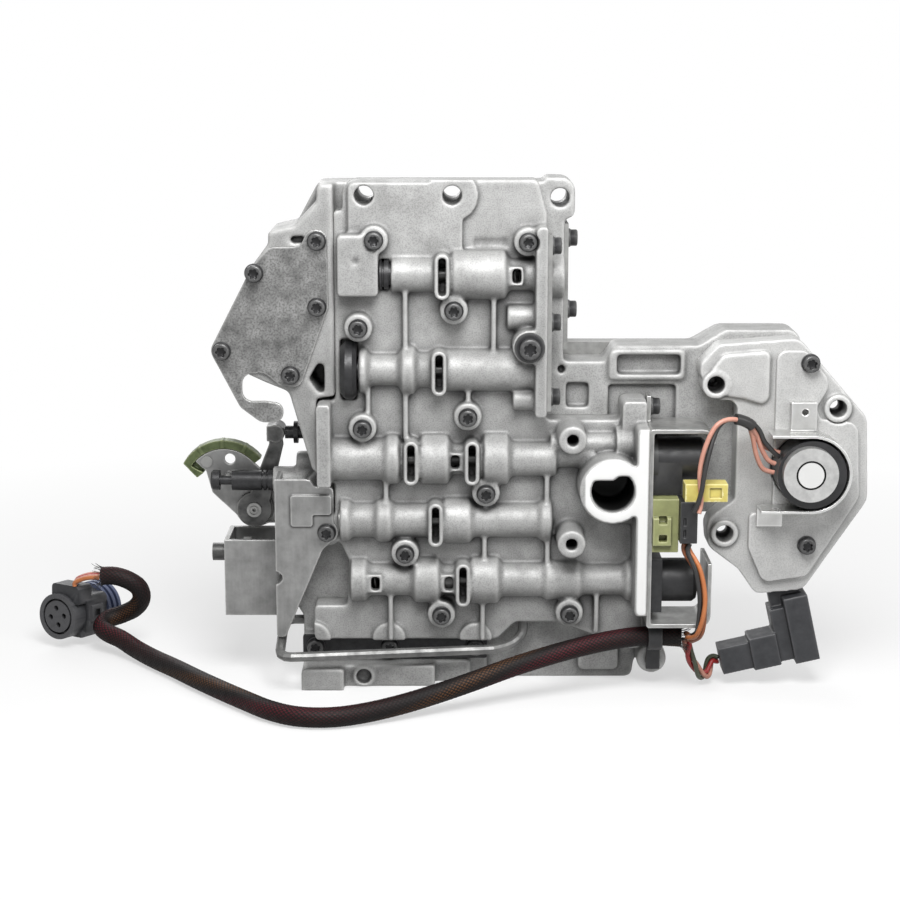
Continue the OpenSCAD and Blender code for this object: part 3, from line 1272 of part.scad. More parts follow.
module leads() {
  color(orange) {
    for (k = [0 : 2]) sweep(beside(smooth(solenoid_lead_points, 2), lead_d * 0.64, 120 * k, 20),
      lead_d / 2, 6);
    for (k = [0 : 1]) sweep(beside(smooth(governor_lead_points, 2), lead_d * 0.56, 180 * k, 20),
      lead_d / 2, 6);
    for (k = [0 : 2]) sweep(beside(smooth(sensor_lead_points, 2), lead_d * 0.64, 120 * k, 30), lead_d / 2,
      6);
  }
}

valve_housing();
separator_plate();
upper_housing();
transfer_separator();
transfer_plate();
housing_screws();
flange_bolt();
end_cover();
upper_end_cover();
end_screws();
side_cover();
side_cover_screws();
ledge_strip();
ledge_strip_screws();
first_row_plug();
second_row_plug();
lower_row_plugs();
limit_valve();
shuttle_valve();
upshift_valve();
downshift_valve();
clutch_valve();
limit_spring();
shuttle_spring();
upshift_spring();
downshift_spring();
clutch_spring();
adjusting_bracket();
line_pressure_screw();
spring_seat();
regulator_valve();
regulator_spring();
manual_lever();
manual_shaft();
lever_cam();
cam_rivet();
throttle_lever();
throttle_shaft();
manual_valve();
kickdown_valve();
pressure_tube();
solenoid_bracket();
overdrive_solenoid();
lockup_solenoid();
solenoid_connector();
connector_clip();
terminal_tag();
governor_body();
governor_cover();
governor_screws();
governor_solenoid();
solenoid_strap();
sensor_connector();
harness_clip();
harness_sleeve();
connector_leads();
case_connector();
connector_seal();
leads();
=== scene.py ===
# %% [markdown]
# # A gearbox valve body
# The real object is a stack of aluminium castings with steel covers, black screws, solenoids and a
# sleeved harness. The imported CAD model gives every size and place. This lesson dresses it: castings
# get soft edges and grain, screws get star sockets, and the harness gets its braid.

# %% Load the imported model
import json
import math
import random

import bmesh
import bpy
from mathutils import Matrix, Vector

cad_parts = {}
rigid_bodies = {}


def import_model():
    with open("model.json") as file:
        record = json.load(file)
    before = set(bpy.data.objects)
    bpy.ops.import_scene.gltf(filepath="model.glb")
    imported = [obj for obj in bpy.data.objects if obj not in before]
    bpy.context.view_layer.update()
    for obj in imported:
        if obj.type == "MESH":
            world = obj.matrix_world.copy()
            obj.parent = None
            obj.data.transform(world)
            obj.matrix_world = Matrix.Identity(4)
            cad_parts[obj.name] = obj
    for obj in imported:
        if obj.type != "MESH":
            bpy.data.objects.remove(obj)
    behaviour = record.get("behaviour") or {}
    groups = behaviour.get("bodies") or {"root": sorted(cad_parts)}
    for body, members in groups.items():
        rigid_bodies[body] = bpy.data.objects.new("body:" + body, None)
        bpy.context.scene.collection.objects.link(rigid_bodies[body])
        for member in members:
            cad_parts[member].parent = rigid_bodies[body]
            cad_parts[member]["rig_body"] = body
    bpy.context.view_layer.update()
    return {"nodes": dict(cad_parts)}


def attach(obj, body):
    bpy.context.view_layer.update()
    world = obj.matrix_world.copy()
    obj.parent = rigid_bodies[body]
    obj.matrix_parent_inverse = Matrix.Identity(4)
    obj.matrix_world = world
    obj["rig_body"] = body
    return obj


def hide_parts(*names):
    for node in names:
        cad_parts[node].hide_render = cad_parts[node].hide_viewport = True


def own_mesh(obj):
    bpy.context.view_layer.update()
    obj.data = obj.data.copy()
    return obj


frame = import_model()
nodes = frame["nodes"]
random.seed(7)
MM = 0.001

# %% [markdown]
# ## Camera and stage
# The photograph looks down on the part by twelve degrees with a long lens. The floor is white, and
# so is the world that the camera and the gloss see, while the light that reaches the part stays
# plain. The main lamp hangs high in front, so the tops of the castings shine and their lower walls
# fall into shade.

# %% Camera
LOOK_DOWN = 12
CAMERA_SPOT = (0, -0.99215, 0.33161)
scene = bpy.context.scene
scene.view_settings.view_transform = "Standard"
camera_data = bpy.data.cameras.new("camera")
camera_data.lens = 80
camera_data.sensor_width = 36
camera = bpy.data.objects.new("camera", camera_data)
camera.location = CAMERA_SPOT
camera.rotation_euler = (math.radians(90 - LOOK_DOWN), 0, 0)
scene.collection.objects.link(camera)
scene.camera = camera
print("camera at", tuple(camera.location))

# %% [markdown]
# ## Helpers for nodes
# A material is a graph of nodes. Drawn by hand it couldn't be read here, so a few short helpers add
# a node, join two sockets, and make the Math, Mix and Map Range nodes that the finishes need.


# %% Small node helpers
def add_node(tree, kind, **values):
    """Adds a shader node and sets its plain properties."""
    node = tree.nodes.new(kind)
    for key, value in values.items():
        setattr(node, key, value)
    return node


def join(tree, source, target):
    tree.links.new(source, target)


def math_node(tree, operation, a, b, clamp=False):
    """A Math node whose inputs are sockets or numbers."""
    node = add_node(tree, "ShaderNodeMath", operation=operation, use_clamp=clamp)
    for socket, value in zip(node.inputs, (a, b)):
        if isinstance(value, bpy.types.NodeSocket):
            join(tree, value, socket)
        else:
            socket.default_value = value
    return node.outputs[0]


def blend_colours(tree, mask, first, second):
    """Mixes two colours, or colour sockets, by a mask."""
    node = add_node(tree, "ShaderNodeMix", data_type="RGBA")
    join(tree, mask, node.inputs["Factor"])
    for socket, value in ((node.inputs[6], first), (node.inputs[7], second)):
        if isinstance(value, bpy.types.NodeSocket):
            join(tree, value, socket)
        else:
            socket.default_value = (*value, 1)
    return node.outputs[2]


def remap(tree, value, low, high, to_low=0.0, to_high=1.0):
    """A clamped Map Range node."""
    node = add_node(tree, "ShaderNodeMapRange")
    join(tree, value, node.inputs["Value"])
    limits = {"From Min": low, "From Max": high, "To Min": to_low, "To Max": to_high}
    for name, number in limits.items():
        node.inputs[name].default_value = number
    return node.outputs["Result"]


print("node helpers ready")

# %% Floor
FLOOR_R = 6
FLOOR_SEEN, FLOOR_UNSEEN = (0.9, 0.9, 0.9), (0.25, 0.25, 0.25)
FADE_FROM, FADE_TO, GLOW_NEAR = 0.15, 0.6, 0.55
floor_mesh = bpy.data.meshes.new("floor")
floor_bm = bmesh.new()
bmesh.ops.create_circle(floor_bm, cap_ends=True, segments=64, radius=FLOOR_R)
floor_bm.to_mesh(floor_mesh)
floor_bm.free()
floor = bpy.data.objects.new("floor", floor_mesh)
scene.collection.objects.link(floor)

floor_paint = bpy.data.materials.new("floor_paint")
floor_paint.use_nodes = True
tree = floor_paint.node_tree
tree.nodes.clear()
floor_out = add_node(tree, "ShaderNodeOutputMaterial")
floor_mix = add_node(tree, "ShaderNodeMixShader")
floor_diffuse = add_node(tree, "ShaderNodeBsdfDiffuse")
floor_glow = add_node(tree, "ShaderNodeEmission")
floor_glow.inputs["Strength"].default_value = 1.0
floor_path = add_node(tree, "ShaderNodeLightPath")
floor_place = add_node(tree, "ShaderNodeTexCoord")
floor_length = add_node(tree, "ShaderNodeVectorMath", operation="LENGTH")
join(tree, floor_place.outputs["Object"], floor_length.inputs[0])
fade = remap(tree, floor_length.outputs["Value"], FADE_FROM, FADE_TO, GLOW_NEAR, 1.0)
rays = floor_path.outputs
seen = math_node(tree, "MAXIMUM", rays["Is Camera Ray"], rays["Is Glossy Ray"])
join(tree, math_node(tree, "MULTIPLY", fade, seen), floor_mix.inputs[0])
floor_tone = blend_colours(tree, seen, FLOOR_UNSEEN, FLOOR_SEEN)
join(tree, floor_tone, floor_diffuse.inputs["Color"])
join(tree, floor_diffuse.outputs[0], floor_mix.inputs[1])
join(tree, floor_glow.outputs[0], floor_mix.inputs[2])
join(tree, floor_mix.outputs[0], floor_out.inputs[0])
floor_mesh.materials.append(floor_paint)
print("floor", 2 * FLOOR_R, "m across")

# %% World and lamps
WORLD_LIGHT, WORLD_GLOSS = 0.14, 0.7
world = bpy.data.worlds.new("studio")
scene.world = world
world.use_nodes = True
tree = world.node_tree
tree.nodes.clear()
world_out = add_node(tree, "ShaderNodeOutputWorld")
world_light = add_node(tree, "ShaderNodeBackground")
world_light.inputs["Color"].default_value = (1, 1, 1, 1)
world_path = add_node(tree, "ShaderNodeLightPath")
rays = world_path.outputs
seen = math_node(tree, "MAXIMUM", rays["Is Camera Ray"], rays["Is Transmission Ray"])
gloss = math_node(tree, "MULTIPLY", rays["Is Glossy Ray"], WORLD_GLOSS)
bright = math_node(tree, "MAXIMUM", seen, gloss)
join(tree, remap(tree, bright, 0.0, 1.0, WORLD_LIGHT, 1.0), world_light.inputs["Strength"])
join(tree, world_light.outputs[0], world_out.inputs[0])


def lamp(name, place, target, size, watts):
    """A square soft box that looks at a point."""
    data = bpy.data.lights.new(name, "AREA")
    data.size = size
    data.energy = watts
    made = bpy.data.objects.new(name, data)
    made.location = place
    made.rotation_euler = (Vector(target) - Vector(place)).to_track_quat("-Z", "Y").to_euler()
    scene.collection.objects.link(made)


lamp("key_box", place=(0.04, -0.42, 0.6), target=(0.03, 0, 0.14), size=0.35, watts=5.4)
lamp("top_box", place=(0.15, 0.05, 1.2), target=(0, 0, 0.1), size=0.6, watts=1.5)
lamp("right_box", place=(1.0, -0.8, 0.6), target=(0.05, 0, 0.1), size=0.5, watts=3.5)
lamp("back_box", place=(-0.5, 1.1, 0.8), target=(0, 0, 0.12), size=0.8, watts=6)
print("world and", len(bpy.data.lights), "lamps")

# %% [markdown]
# ## The braided sleeve
# The harness runs in a woven sleeve that lies on the bench and ends in a round connector. Two sets
# of thin strands cross each other round the sleeve, so its mesh is a fine tube whose skin rises on
# each strand. A colour layer keeps the weave's height and the wire that shows through each gap.

# %% The sleeve's route, as the CAD source has it
SLEEVE_POINTS = [
    (117, -22, 28.6), (104, -21, 29), (92, -22.5, 28.8), (78, -26, 27.6), (62, -31, 25.4),
    (46, -36.5, 22.5), (30, -42, 19), (12, -49, 14.5), (-6, -56, 10.4), (-24, -64, 7.4),
    (-42, -72, 5.8), (-58, -76.5, 5.3), (-74, -75, 5.3), (-88, -66, 5.3), (-101, -52, 5.3),
    (-114, -37, 5.3), (-128, -20, 5.3), (-142, -2, 5.3), (-156, 15, 5.3), (-167, 28, 6.3),
    (-176.5, 37, 9), (-184, 41.5, 11), (-188.2, 46.5, 13), (-186, 52.5, 15.5),
    (-178.5, 54.5, 17.8), (-171, 52.5, 22), (-167, 50, 28), (-168, 48.5, 34.5),
    (-173.5, 47.5, 39), (-180.5, 47.5, 41.3), (-187.5, 48, 41.2),
]
SLEEVE_R = 5.0 * MM
RING_GAP = 0.55 * MM


def spline(points, steps):
    """Points of a smooth curve through the given ones."""
    p = [Vector(q) for q in points]
    last = len(p) - 1
    made = []
    for i in range(last):
        a, b, c, d = p[max(i - 1, 0)], p[i], p[i + 1], p[min(i + 2, last)]
        for k in range(steps):
            t = k / steps
            square = (2 * a - 5 * b + 4 * c - d) * t**2
            cube = (3 * b - a - 3 * c + d) * t**3
            made.append(0.5 * (2 * b + (c - a) * t + square + cube))
    return made + [p[last]]


def evenly(points, gap):
    """The same line with points at one distance from each other."""
    far = [0.0]
    for a, b in zip(points, points[1:]):
        far.append(far[-1] + (b - a).length)
    count = max(2, round(far[-1] / gap))
    made, i = [], 0
    for k in range(count + 1):
        want = far[-1] * k / count
        while i < len(far) - 2 and far[i + 1] < want:
            i += 1
        share = (want - far[i]) / max(far[i + 1] - far[i], 1e-12)
        made.append(points[i].lerp(points[i + 1], share))
    return made, far[-1]


def frames(points):
    """A side and an up direction at each point, carried along without twist."""
    made, side = [], None
    for i in range(len(points)):
        along = (points[min(i + 1, len(points) - 1)] - points[max(i - 1, 0)]).normalized()
        side = side or (Vector((0, 0, 1)) if abs(along.z) < 0.9 else Vector((1, 0, 0)))
        side = (side - side.dot(along) * along).normalized()
        made.append((side, along.cross(side)))
    return made


sleeve_line, sleeve_length = evenly([q * MM for q in spline(SLEEVE_POINTS, 12)], RING_GAP)
print("sleeve length", round(sleeve_length, 4), "m in", len(sleeve_line), "rings")

# %% Weave the sleeve
STRANDS = 16
STRAND_PITCH = 2.4 * MM
WEAVE_DEPTH = 0.32 * MM
STRIPE_TURN = 0.16


def close_tube(bm, rings):
    """Faces between rings of points in a row, and a lid on each end."""
    sides = len(rings[0])
    for a, b in zip(rings, rings[1:]):
        for k in range(sides):
            n = (k + 1) % sides
            bm.faces.new((a[k], a[n], b[n], b[k]))
    bm.faces.new(list(reversed(rings[0])))
    bm.faces.new(rings[-1])


def smooth_mesh(bm, name, sharp=None):
    """The mesh of a bmesh with smooth faces, and sharp edges over an angle in degrees."""
    mesh = bpy.data.meshes.new(name)
    bm.to_mesh(mesh)
    bm.free()
    mesh.polygons.foreach_set("use_smooth", [True] * len(mesh.polygons))
    if sharp:
        mesh.set_sharp_from_angle(angle=math.radians(sharp))
    return mesh


def weave_sleeve(line, sides=96):
    """A tube whose radius follows two crossing sets of strands. A colour layer keeps the weave."""
    bm = bmesh.new()
    layer = bm.verts.layers.float_color.new("weave")
    rings = []
    gap = (line[1] - line[0]).length
    for i, (point, (side, up)) in enumerate(zip(line, frames(line))):
        ring = []
        for j in range(sides):
            angle = 2 * math.pi * j / sides
            first = STRANDS * j / sides + i * gap / STRAND_PITCH
            second = STRANDS * j / sides - i * gap / STRAND_PITCH
            crossing = math.cos(math.pi * (first + second)) * math.cos(math.pi * (first - second))
            over = 0.5 + 0.5 * crossing
            under = math.cos(2 * math.pi * second) * (1 - 0.4 * over)
            height = max(0.0, under, math.cos(2 * math.pi * first) * (0.6 + 0.4 * over))
            radius = SLEEVE_R - WEAVE_DEPTH * (1 - height)
            vert = bm.verts.new(point + radius * (math.cos(angle) * side + math.sin(angle) * up))
            stripe = (j / sides + i * gap / STRIPE_TURN) % 1.0
            vert[layer] = (height, stripe, 0, 1)
            ring.append(vert)
        rings.append(ring)
    close_tube(bm, rings)
    bmesh.ops.recalc_face_normals(bm, faces=bm.faces)
    return smooth_mesh(bm, "braided_sleeve")


sleeve = bpy.data.objects.new("braided_sleeve", weave_sleeve(sleeve_line))
scene.collection.objects.link(sleeve)
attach(sleeve, "body")
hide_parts("harness_sleeve")
print("woven faces", len(sleeve.data.polygons))

# %% [markdown]
# ## Wires
# At the clip the sleeve lets out groups of insulated wires, and at its far end four wires drop into
# the connector. A curve with a bevel would do, but its box counts more than the wire, so each wire
# is a mesh tube that turns a little about its group's middle line.

# %% Make the wires
LEAD_R = 1.2 * MM
TAPE_R = 2.75 * MM
WIRE_STEPS = 8
TURN_STEPS = 4
TAPED = slice(50, 61)
SLEEVE_START = Vector(SLEEVE_POINTS[0])
SLEEVE_END = Vector(SLEEVE_POINTS[-1])


def wire(name, lines, radius, sides=12):
    """Round wires in one piece, one along each line of points, closed at both ends."""
    bm = bmesh.new()
    turns = [2 * math.pi * k / sides for k in range(sides)]
    for points in lines:
        rings = []
        for point, (side, up) in zip(points, frames(points)):
            spokes = [math.cos(t) * side + math.sin(t) * up for t in turns]
            rings.append([bm.verts.new(point + radius * spoke) for spoke in spokes])
        close_tube(bm, rings)
    bmesh.ops.recalc_face_normals(bm, faces=bm.faces)
    made = bpy.data.objects.new(name, smooth_mesh(bm, name, sharp=60))
    scene.collection.objects.link(made)
    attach(made, "body")
    return made


def laid(points, steps=WIRE_STEPS):
    """A smooth line through points in millimetres, in metres."""
    return [q * MM for q in spline(points, steps)]


def twisted(points, count, reach, rate):
    """Lines of a group of wires that turn about its middle line, reach from it in millimetres, by
    rate in degrees over a few steps."""
    line = spline(points, WIRE_STEPS)
    base = frames(line)
    made = []
    for k in range(count):
        strand = []
        for i, (point, (side, up)) in enumerate(zip(line, base)):
            angle = 2 * math.pi * k / count + math.radians(rate) * i / TURN_STEPS
            strand.append((point + reach * (math.cos(angle) * side + math.sin(angle) * up)) * MM)
        made.append(strand)
    return made


print("wire helpers ready")

# %% Lay the wires
solenoid_group = [
    SLEEVE_START + Vector((2, -2.2, 1.2)), SLEEVE_START + Vector((4, -4, 1.6)), (121, -31, 31),
    (123.6, -37.2, 35.2), (125, -39.2, 44), (125, -39.2, 55), (122, -38.6, 68),
    (117.3, -35.5, 77), (117.3, -35.5, 81.4),
]
governor_group = [
    (120.3, -43, 98.5), (121.8, -43, 103.5), (122.4, -42.8, 110), (122.8, -42.4, 119),
    (125.4, -41, 130.5), (130.1, -38.5, 140.6), (137.3, -36, 143.8), (145.2, -33.5, 141.6),
    (150.2, -31.5, 137), (153.4, -29.5, 131), (158.6, -27.6, 126.4), (162.6, -27, 124.1),
]
sensor_group = [
    SLEEVE_START + Vector((2, 2, -1.8)), SLEEVE_START + Vector((3.6, 2.4, -4.2)),
    (121.4, -18.6, 19), (124.5, -17, 12.6), (128, -14.5, 6.6), (131.5, -11.5, 5.6),
    (134.2, -8, 12), (137.7, -8, 12.8),
]
wires = {}
for group, points, count, reach, rate in (
    ("solenoid_wire", solenoid_group, 3, 1.54, 20),
    ("governor_wire", governor_group, 2, 1.34, 24),
    ("sensor_wire", sensor_group, 3, 1.54, 34),
):
    for k, strand in enumerate(twisted(points, count, reach, rate)):
        name = f"{group}_{k + 1}"
        wires[name] = wire(name, [strand], LEAD_R)
# Behind the tape two more wires fan out to the governor's solenoid
for name, points in (
    ("governor_wire_3", [
        (146.5, -32.8, 140.6), (150.5, -30.5, 134.5), (153.6, -29, 127), (157, -27.8, 121.6),
        (160.6, -27.2, 119.6),
    ]),
    ("governor_wire_4", [
        (146.2, -32.9, 140.2), (148.6, -31, 133.5), (150.8, -29.6, 124.5), (154.4, -28.2, 117.4),
        (160, -27.4, 115.2),
    ]),
):
    wires[name] = wire(name, [laid(points)], LEAD_R)
wires["governor_tape"] = wire("governor_tape", [laid(governor_group)[TAPED]], TAPE_R)
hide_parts("leads")
connector_drop = [
    (-0.8, 0, 0), (-3, 0.1, 0.1), (-7.5, 0.8, -0.4), (-11.5, 1.8, -1.8), (-14.6, 2.7, -3.6),
    (-14.8, 2.8, -5.4),
]
DROP_COUNT, DROP_GAP, DROP_STEPS = 4, 2.6, 6
for k in range(DROP_COUNT):
    name = f"connector_wire_{k + 1}"
    start = SLEEVE_END + Vector((0, (k - (DROP_COUNT - 1) / 2) * DROP_GAP, 0))
    drop = [start + Vector(d) for d in connector_drop]
    wires[name] = wire(name, [laid(drop, DROP_STEPS)], LEAD_R)
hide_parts("connector_leads")
print(len(wires), "wires")

# %% [markdown]
# ## Frayed ends
# Where the braid is cut, its strands spring loose. Hair could draw them, but it isn't a mesh and
# would be lost in an export, so thin tubes start inside the skin and bend outwards by chance.

# %% Fray the cut ends of the braid
FRAY_COUNT = 44
FRAY_R = 0.11 * MM
FRAY_INSET = 0.35 * MM
FRAY_ROOT = 1.5 * MM
FRAY_STEPS = (0, 0.2, 0.4, 0.6, 0.8, 1)
hairs = []
# The last ring and the first, each with a ring further in
for end, inner in ((-1, -8), (0, 7)):
    tip = sleeve_line[end]
    along = (tip - sleeve_line[inner]).normalized()
    side, up = frames(sleeve_line)[end]
    for k in range(FRAY_COUNT):
        angle = 2 * math.pi * (k + random.random()) / FRAY_COUNT
        out = math.cos(angle) * side + math.sin(angle) * up
        root = tip + (SLEEVE_R - FRAY_INSET) * out - along * FRAY_ROOT
        ahead = along * random.uniform(2.5, 6.5) * MM
        lift = out * random.uniform(0.4, 3.2) * MM
        bend = out.cross(along) * random.uniform(-1.4, 1.4) * MM
        hairs.append([root + ahead * t + lift * t * t + bend * t**3 for t in FRAY_STEPS])
fray = wire("frayed_strands", hairs, FRAY_R, sides=5)
print(len(hairs), "frayed strands")

# %% [markdown]
# ## The sleeve
# A harness is a fixed length of something that bends; here the sleeve is the woven mesh tube alone.

print("sleeve left as a mesh tube")

# %% [markdown]
# ## Shared surface effects
# Cast, rolled, oxidised and moulded surfaces share a few effects: a slow mottle, a fine grain,
# scratches in one direction, edges lighter from wear and a painted highlight, corners darkened as
# painted shade, and a disc for bores and turned faces. Each is a node group with named sockets,
# built once. The Geometry node stays in each material and sends its pointiness in.


# %% Start a node group
FLOAT = "NodeSocketFloat"


def new_group(name, inputs, outputs):
    """A shader node group with number sockets, its input node and its output node."""
    group = bpy.data.node_groups.new(name, "ShaderNodeTree")
    for label, value in inputs.items():
        socket = group.interface.new_socket(name=label, in_out="INPUT", socket_type=FLOAT)
        socket.default_value = value
    for label in outputs:
        group.interface.new_socket(name=label, in_out="OUTPUT", socket_type=FLOAT)
    return group, group.nodes.new("NodeGroupInput"), group.nodes.new("NodeGroupOutput")


def own_place(tree):
    """The point in the object's own space, which stays put when a joint moves."""
    return add_node(tree, "ShaderNodeTexCoord").outputs["Object"]


def split_place(tree):
    """The X, Y and Z of that point as three sockets."""
    apart = add_node(tree, "ShaderNodeSeparateXYZ")
    join(tree, own_place(tree), apart.inputs[0])
    return apart.outputs


def noise(tree, vector, scale, detail, roughness):
    """A noise texture whose scale is a socket or a number."""
    node = add_node(tree, "ShaderNodeTexNoise")
    node.inputs["Detail"].default_value = detail
    node.inputs["Roughness"].default_value = roughness
    join(tree, vector, node.inputs["Vector"])
    if isinstance(scale, bpy.types.NodeSocket):
        join(tree, scale, node.inputs["Scale"])
    else:
        node.inputs["Scale"].default_value = scale
    return node.outputs["Fac"]


print("group helpers ready")

# %% A slow mottle and a fine grain in the object's own space
grain_group, ins, outs = new_group(
    "surface_grain", {"Mottle Scale": 60.0, "Grain Scale": 1500.0}, ("Mottle", "Grain")
)
place = own_place(grain_group)
mottle = noise(grain_group, place, ins.outputs["Mottle Scale"], 5.0, 0.6)
join(grain_group, remap(grain_group, mottle, 0.32, 0.68), outs.inputs["Mottle"])
grain = noise(grain_group, place, ins.outputs["Grain Scale"], 2.0, 0.5)
join(grain_group, grain, outs.inputs["Grain"])
print(grain_group.name, "built")

# %% Edges lighter from wear and a painted highlight, and corners darkened as painted shade
FLAT = 0.5
EDGE_SPREAD = 0.06
EDGE_BREAK_SCALE = 220.0
edge_and_shade_group, ins, outs = new_group(
    "edge_wear_highlight_corner_shade", {"Pointiness": FLAT, "Spread": EDGE_SPREAD}, ("Edge", "Corner Shade")
)
# The edge mask is partly wear and partly a painted highlight, broken up by noise.
rough = noise(edge_and_shade_group, own_place(edge_and_shade_group), EDGE_BREAK_SCALE, 4.0, 0.6)
rise = math_node(edge_and_shade_group, "SUBTRACT", ins.outputs["Pointiness"], FLAT)
edge = math_node(edge_and_shade_group, "DIVIDE", rise, ins.outputs["Spread"])
broken = math_node(edge_and_shade_group, "ADD", rough, 0.5)
edge = math_node(edge_and_shade_group, "MULTIPLY", edge, broken, clamp=True)
join(edge_and_shade_group, edge, outs.inputs["Edge"])
# The corner mask is painted shade, where the pointiness falls in hollows.
fall = math_node(edge_and_shade_group, "MULTIPLY", rise, -1.0)
corner_shade = math_node(edge_and_shade_group, "DIVIDE", fall, ins.outputs["Spread"], clamp=True)
join(edge_and_shade_group, corner_shade, outs.inputs["Corner Shade"])
print(edge_and_shade_group.name, "built")

# %% Scratches and rolling marks that run along one axis
streak_group, ins, outs = new_group(
    "streaks", {"Along X": 20.0, "Along Y": 900.0, "Along Z": 900.0}, ("Streak",)
)
stretch = add_node(streak_group, "ShaderNodeCombineXYZ")
for axis in "XYZ":
    join(streak_group, ins.outputs[f"Along {axis}"], stretch.inputs[axis])
pulled = add_node(streak_group, "ShaderNodeVectorMath", operation="MULTIPLY")
join(streak_group, own_place(streak_group), pulled.inputs[0])
join(streak_group, stretch.outputs[0], pulled.inputs[1])
streak = noise(streak_group, pulled.outputs[0], 1.0, 4.0, 0.65)
join(streak_group, streak, outs.inputs["Streak"])
print(streak_group.name, "built")

# %% A disc about an axis along Y, for a bore or a turned face
RIM_STEEPNESS = 6000.0
disc_group, ins, outs = new_group(
    "disc", {"Centre X": 0.0, "Centre Z": 0.0, "Radius": 0.01}, ("Inside",)
)
apart = split_place(disc_group)
aside = math_node(disc_group, "SUBTRACT", apart["X"], ins.outputs["Centre X"])
above = math_node(disc_group, "SUBTRACT", apart["Z"], ins.outputs["Centre Z"])
squares = [math_node(disc_group, "MULTIPLY", side, side) for side in (aside, above)]
reach = math_node(disc_group, "SQRT", math_node(disc_group, "ADD", *squares), 0.0)
inside = math_node(disc_group, "SUBTRACT", ins.outputs["Radius"], reach)
inside = math_node(disc_group, "MULTIPLY", inside, RIM_STEEPNESS, clamp=True)
join(disc_group, inside, outs.inputs["Inside"])
print(disc_group.name, "built")

# %% [markdown]
# ## Finishes
# One recipe makes each metal and plastic: two tones mixed by the mottle, lifted on edges by wear
# and a painted highlight, and lowered in corners by painted shade, with a roughness that follows the
# mottle and a bump from the grain. Numbers that are the same all over sit on the shader's own
# sockets.


# %% The recipe
FILTER_FACE = -38 * MM
FILTER_LEFT = 65.8 * MM
PORT_SPOT = (80 * MM, 107.8 * MM)
PORT_R = 10.9 * MM
PORT_SHADE = (0.005, 0.005, 0.005)
# Painted shade in deep corners from ambient occlusion: how far it looks, the range it maps and its
# darkest share.
DEEP_SHADE_REACH = 9 * MM
DEEP_SHADE_FROM, DEEP_SHADE_TO, DEEP_SHADE_MOST = 0.85, 0.25, 0.9
DOT_FROM, DOT_TO, DOT_SHADE = 0.54, 0.38, 0.35


def place_group(tree, group, **values):
    """A group's node with its inputs set, an underscore in a name standing for a space."""
    node = add_node(tree, "ShaderNodeGroup")
    node.node_tree = group
    for label, value in values.items():
        node.inputs[label.replace("_", " ")].default_value = value
    return node


def in_disc(tree, centre, radius):
    """The mask of a disc about a centre given as X and Z."""
    node = place_group(tree, disc_group, Centre_X=centre[0], Centre_Z=centre[1], Radius=radius)
    return node.outputs["Inside"]


def filter_face(tree, tone, faced):
    """The tone of the milled filter face over a casting's own, with painted shade inside the port."""
    apart = split_place(tree)
    front = remap(tree, apart["Y"], FILTER_FACE + 0.25 * MM, FILTER_FACE + 0.1 * MM)
    right = remap(tree, apart["X"], FILTER_LEFT, FILTER_LEFT + 1 * MM)
    tone = blend_colours(tree, math_node(tree, "MULTIPLY", front, right), tone, faced)
    # Painted shade: the port's wall is made near black inside.
    deep = remap(tree, apart["Y"], FILTER_FACE + 0.5 * MM, FILTER_FACE + 6 * MM)
    bore = math_node(tree, "MULTIPLY", in_disc(tree, PORT_SPOT, PORT_R), deep)
    return blend_colours(tree, bore, tone, PORT_SHADE)


def finish(
    name, light, dark, metal, rough, mottle, grain, bump, depth=0.1 * MM,
    edge=None, corner_shade=None, streak=None, speckle=0.0, faced=None, painted_deep_shade=None,
):
    """A material from the shared groups. speckle is the share of dark dots that a skin keeps,
    faced the tone of the milled filter face. The last tone is painted shade in deep corners."""
    made = bpy.data.materials.new(name)
    made.use_nodes = True
    tree = made.node_tree
    shader = tree.nodes["Principled BSDF"]
    shader.inputs["Metallic"].default_value = metal
    skin = place_group(tree, grain_group, Mottle_Scale=mottle, Grain_Scale=grain)
    mask = skin.outputs["Mottle"]
    height = skin.outputs["Grain"]
    if streak:
        along = dict(zip(("Along_X", "Along_Y", "Along_Z"), streak))
        lines = place_group(tree, streak_group, **along).outputs["Streak"]
        mask = math_node(tree, "MULTIPLY", math_node(tree, "ADD", mask, lines), 0.5)
        height = math_node(tree, "ADD", height, lines)
    tone = blend_colours(tree, mask, dark, light)
    if speckle:
        dots = remap(tree, skin.outputs["Grain"], DOT_FROM, DOT_TO, 0.0, speckle)
        tone = blend_colours(tree, dots, tone, [DOT_SHADE * v for v in dark])
    # Edges lighter from wear and a painted highlight, and corners darker as painted shade.
    if edge or corner_shade:
        shape = add_node(tree, "ShaderNodeNewGeometry")
        edges_and_shade = place_group(tree, edge_and_shade_group, Spread=EDGE_SPREAD)
        join(tree, shape.outputs["Pointiness"], edges_and_shade.inputs["Pointiness"])
        if corner_shade:
            tone = blend_colours(tree, edges_and_shade.outputs["Corner Shade"], tone, corner_shade)
        if edge:
            tone = blend_colours(tree, edges_and_shade.outputs["Edge"], tone, edge)
    # Painted shade: ambient occlusion darkens the deep corners.
    if painted_deep_shade:
        hollow = add_node(tree, "ShaderNodeAmbientOcclusion", samples=8, only_local=True)
        hollow.inputs["Distance"].default_value = DEEP_SHADE_REACH
        deep = remap(tree, hollow.outputs["AO"], DEEP_SHADE_FROM, DEEP_SHADE_TO, 0.0, DEEP_SHADE_MOST)
        tone = blend_colours(tree, deep, tone, painted_deep_shade)
    if faced:
        tone = filter_face(tree, tone, faced)
    join(tree, tone, shader.inputs["Base Color"])
    join(tree, remap(tree, mask, 0.0, 1.0, rough[1], rough[0]), shader.inputs["Roughness"])
    relief = add_node(tree, "ShaderNodeBump")
    relief.inputs["Strength"].default_value = bump
    relief.inputs["Distance"].default_value = depth
    join(tree, height, relief.inputs["Height"])
    join(tree, relief.outputs[0], shader.inputs["Normal"])
    return made


print("recipe ready")
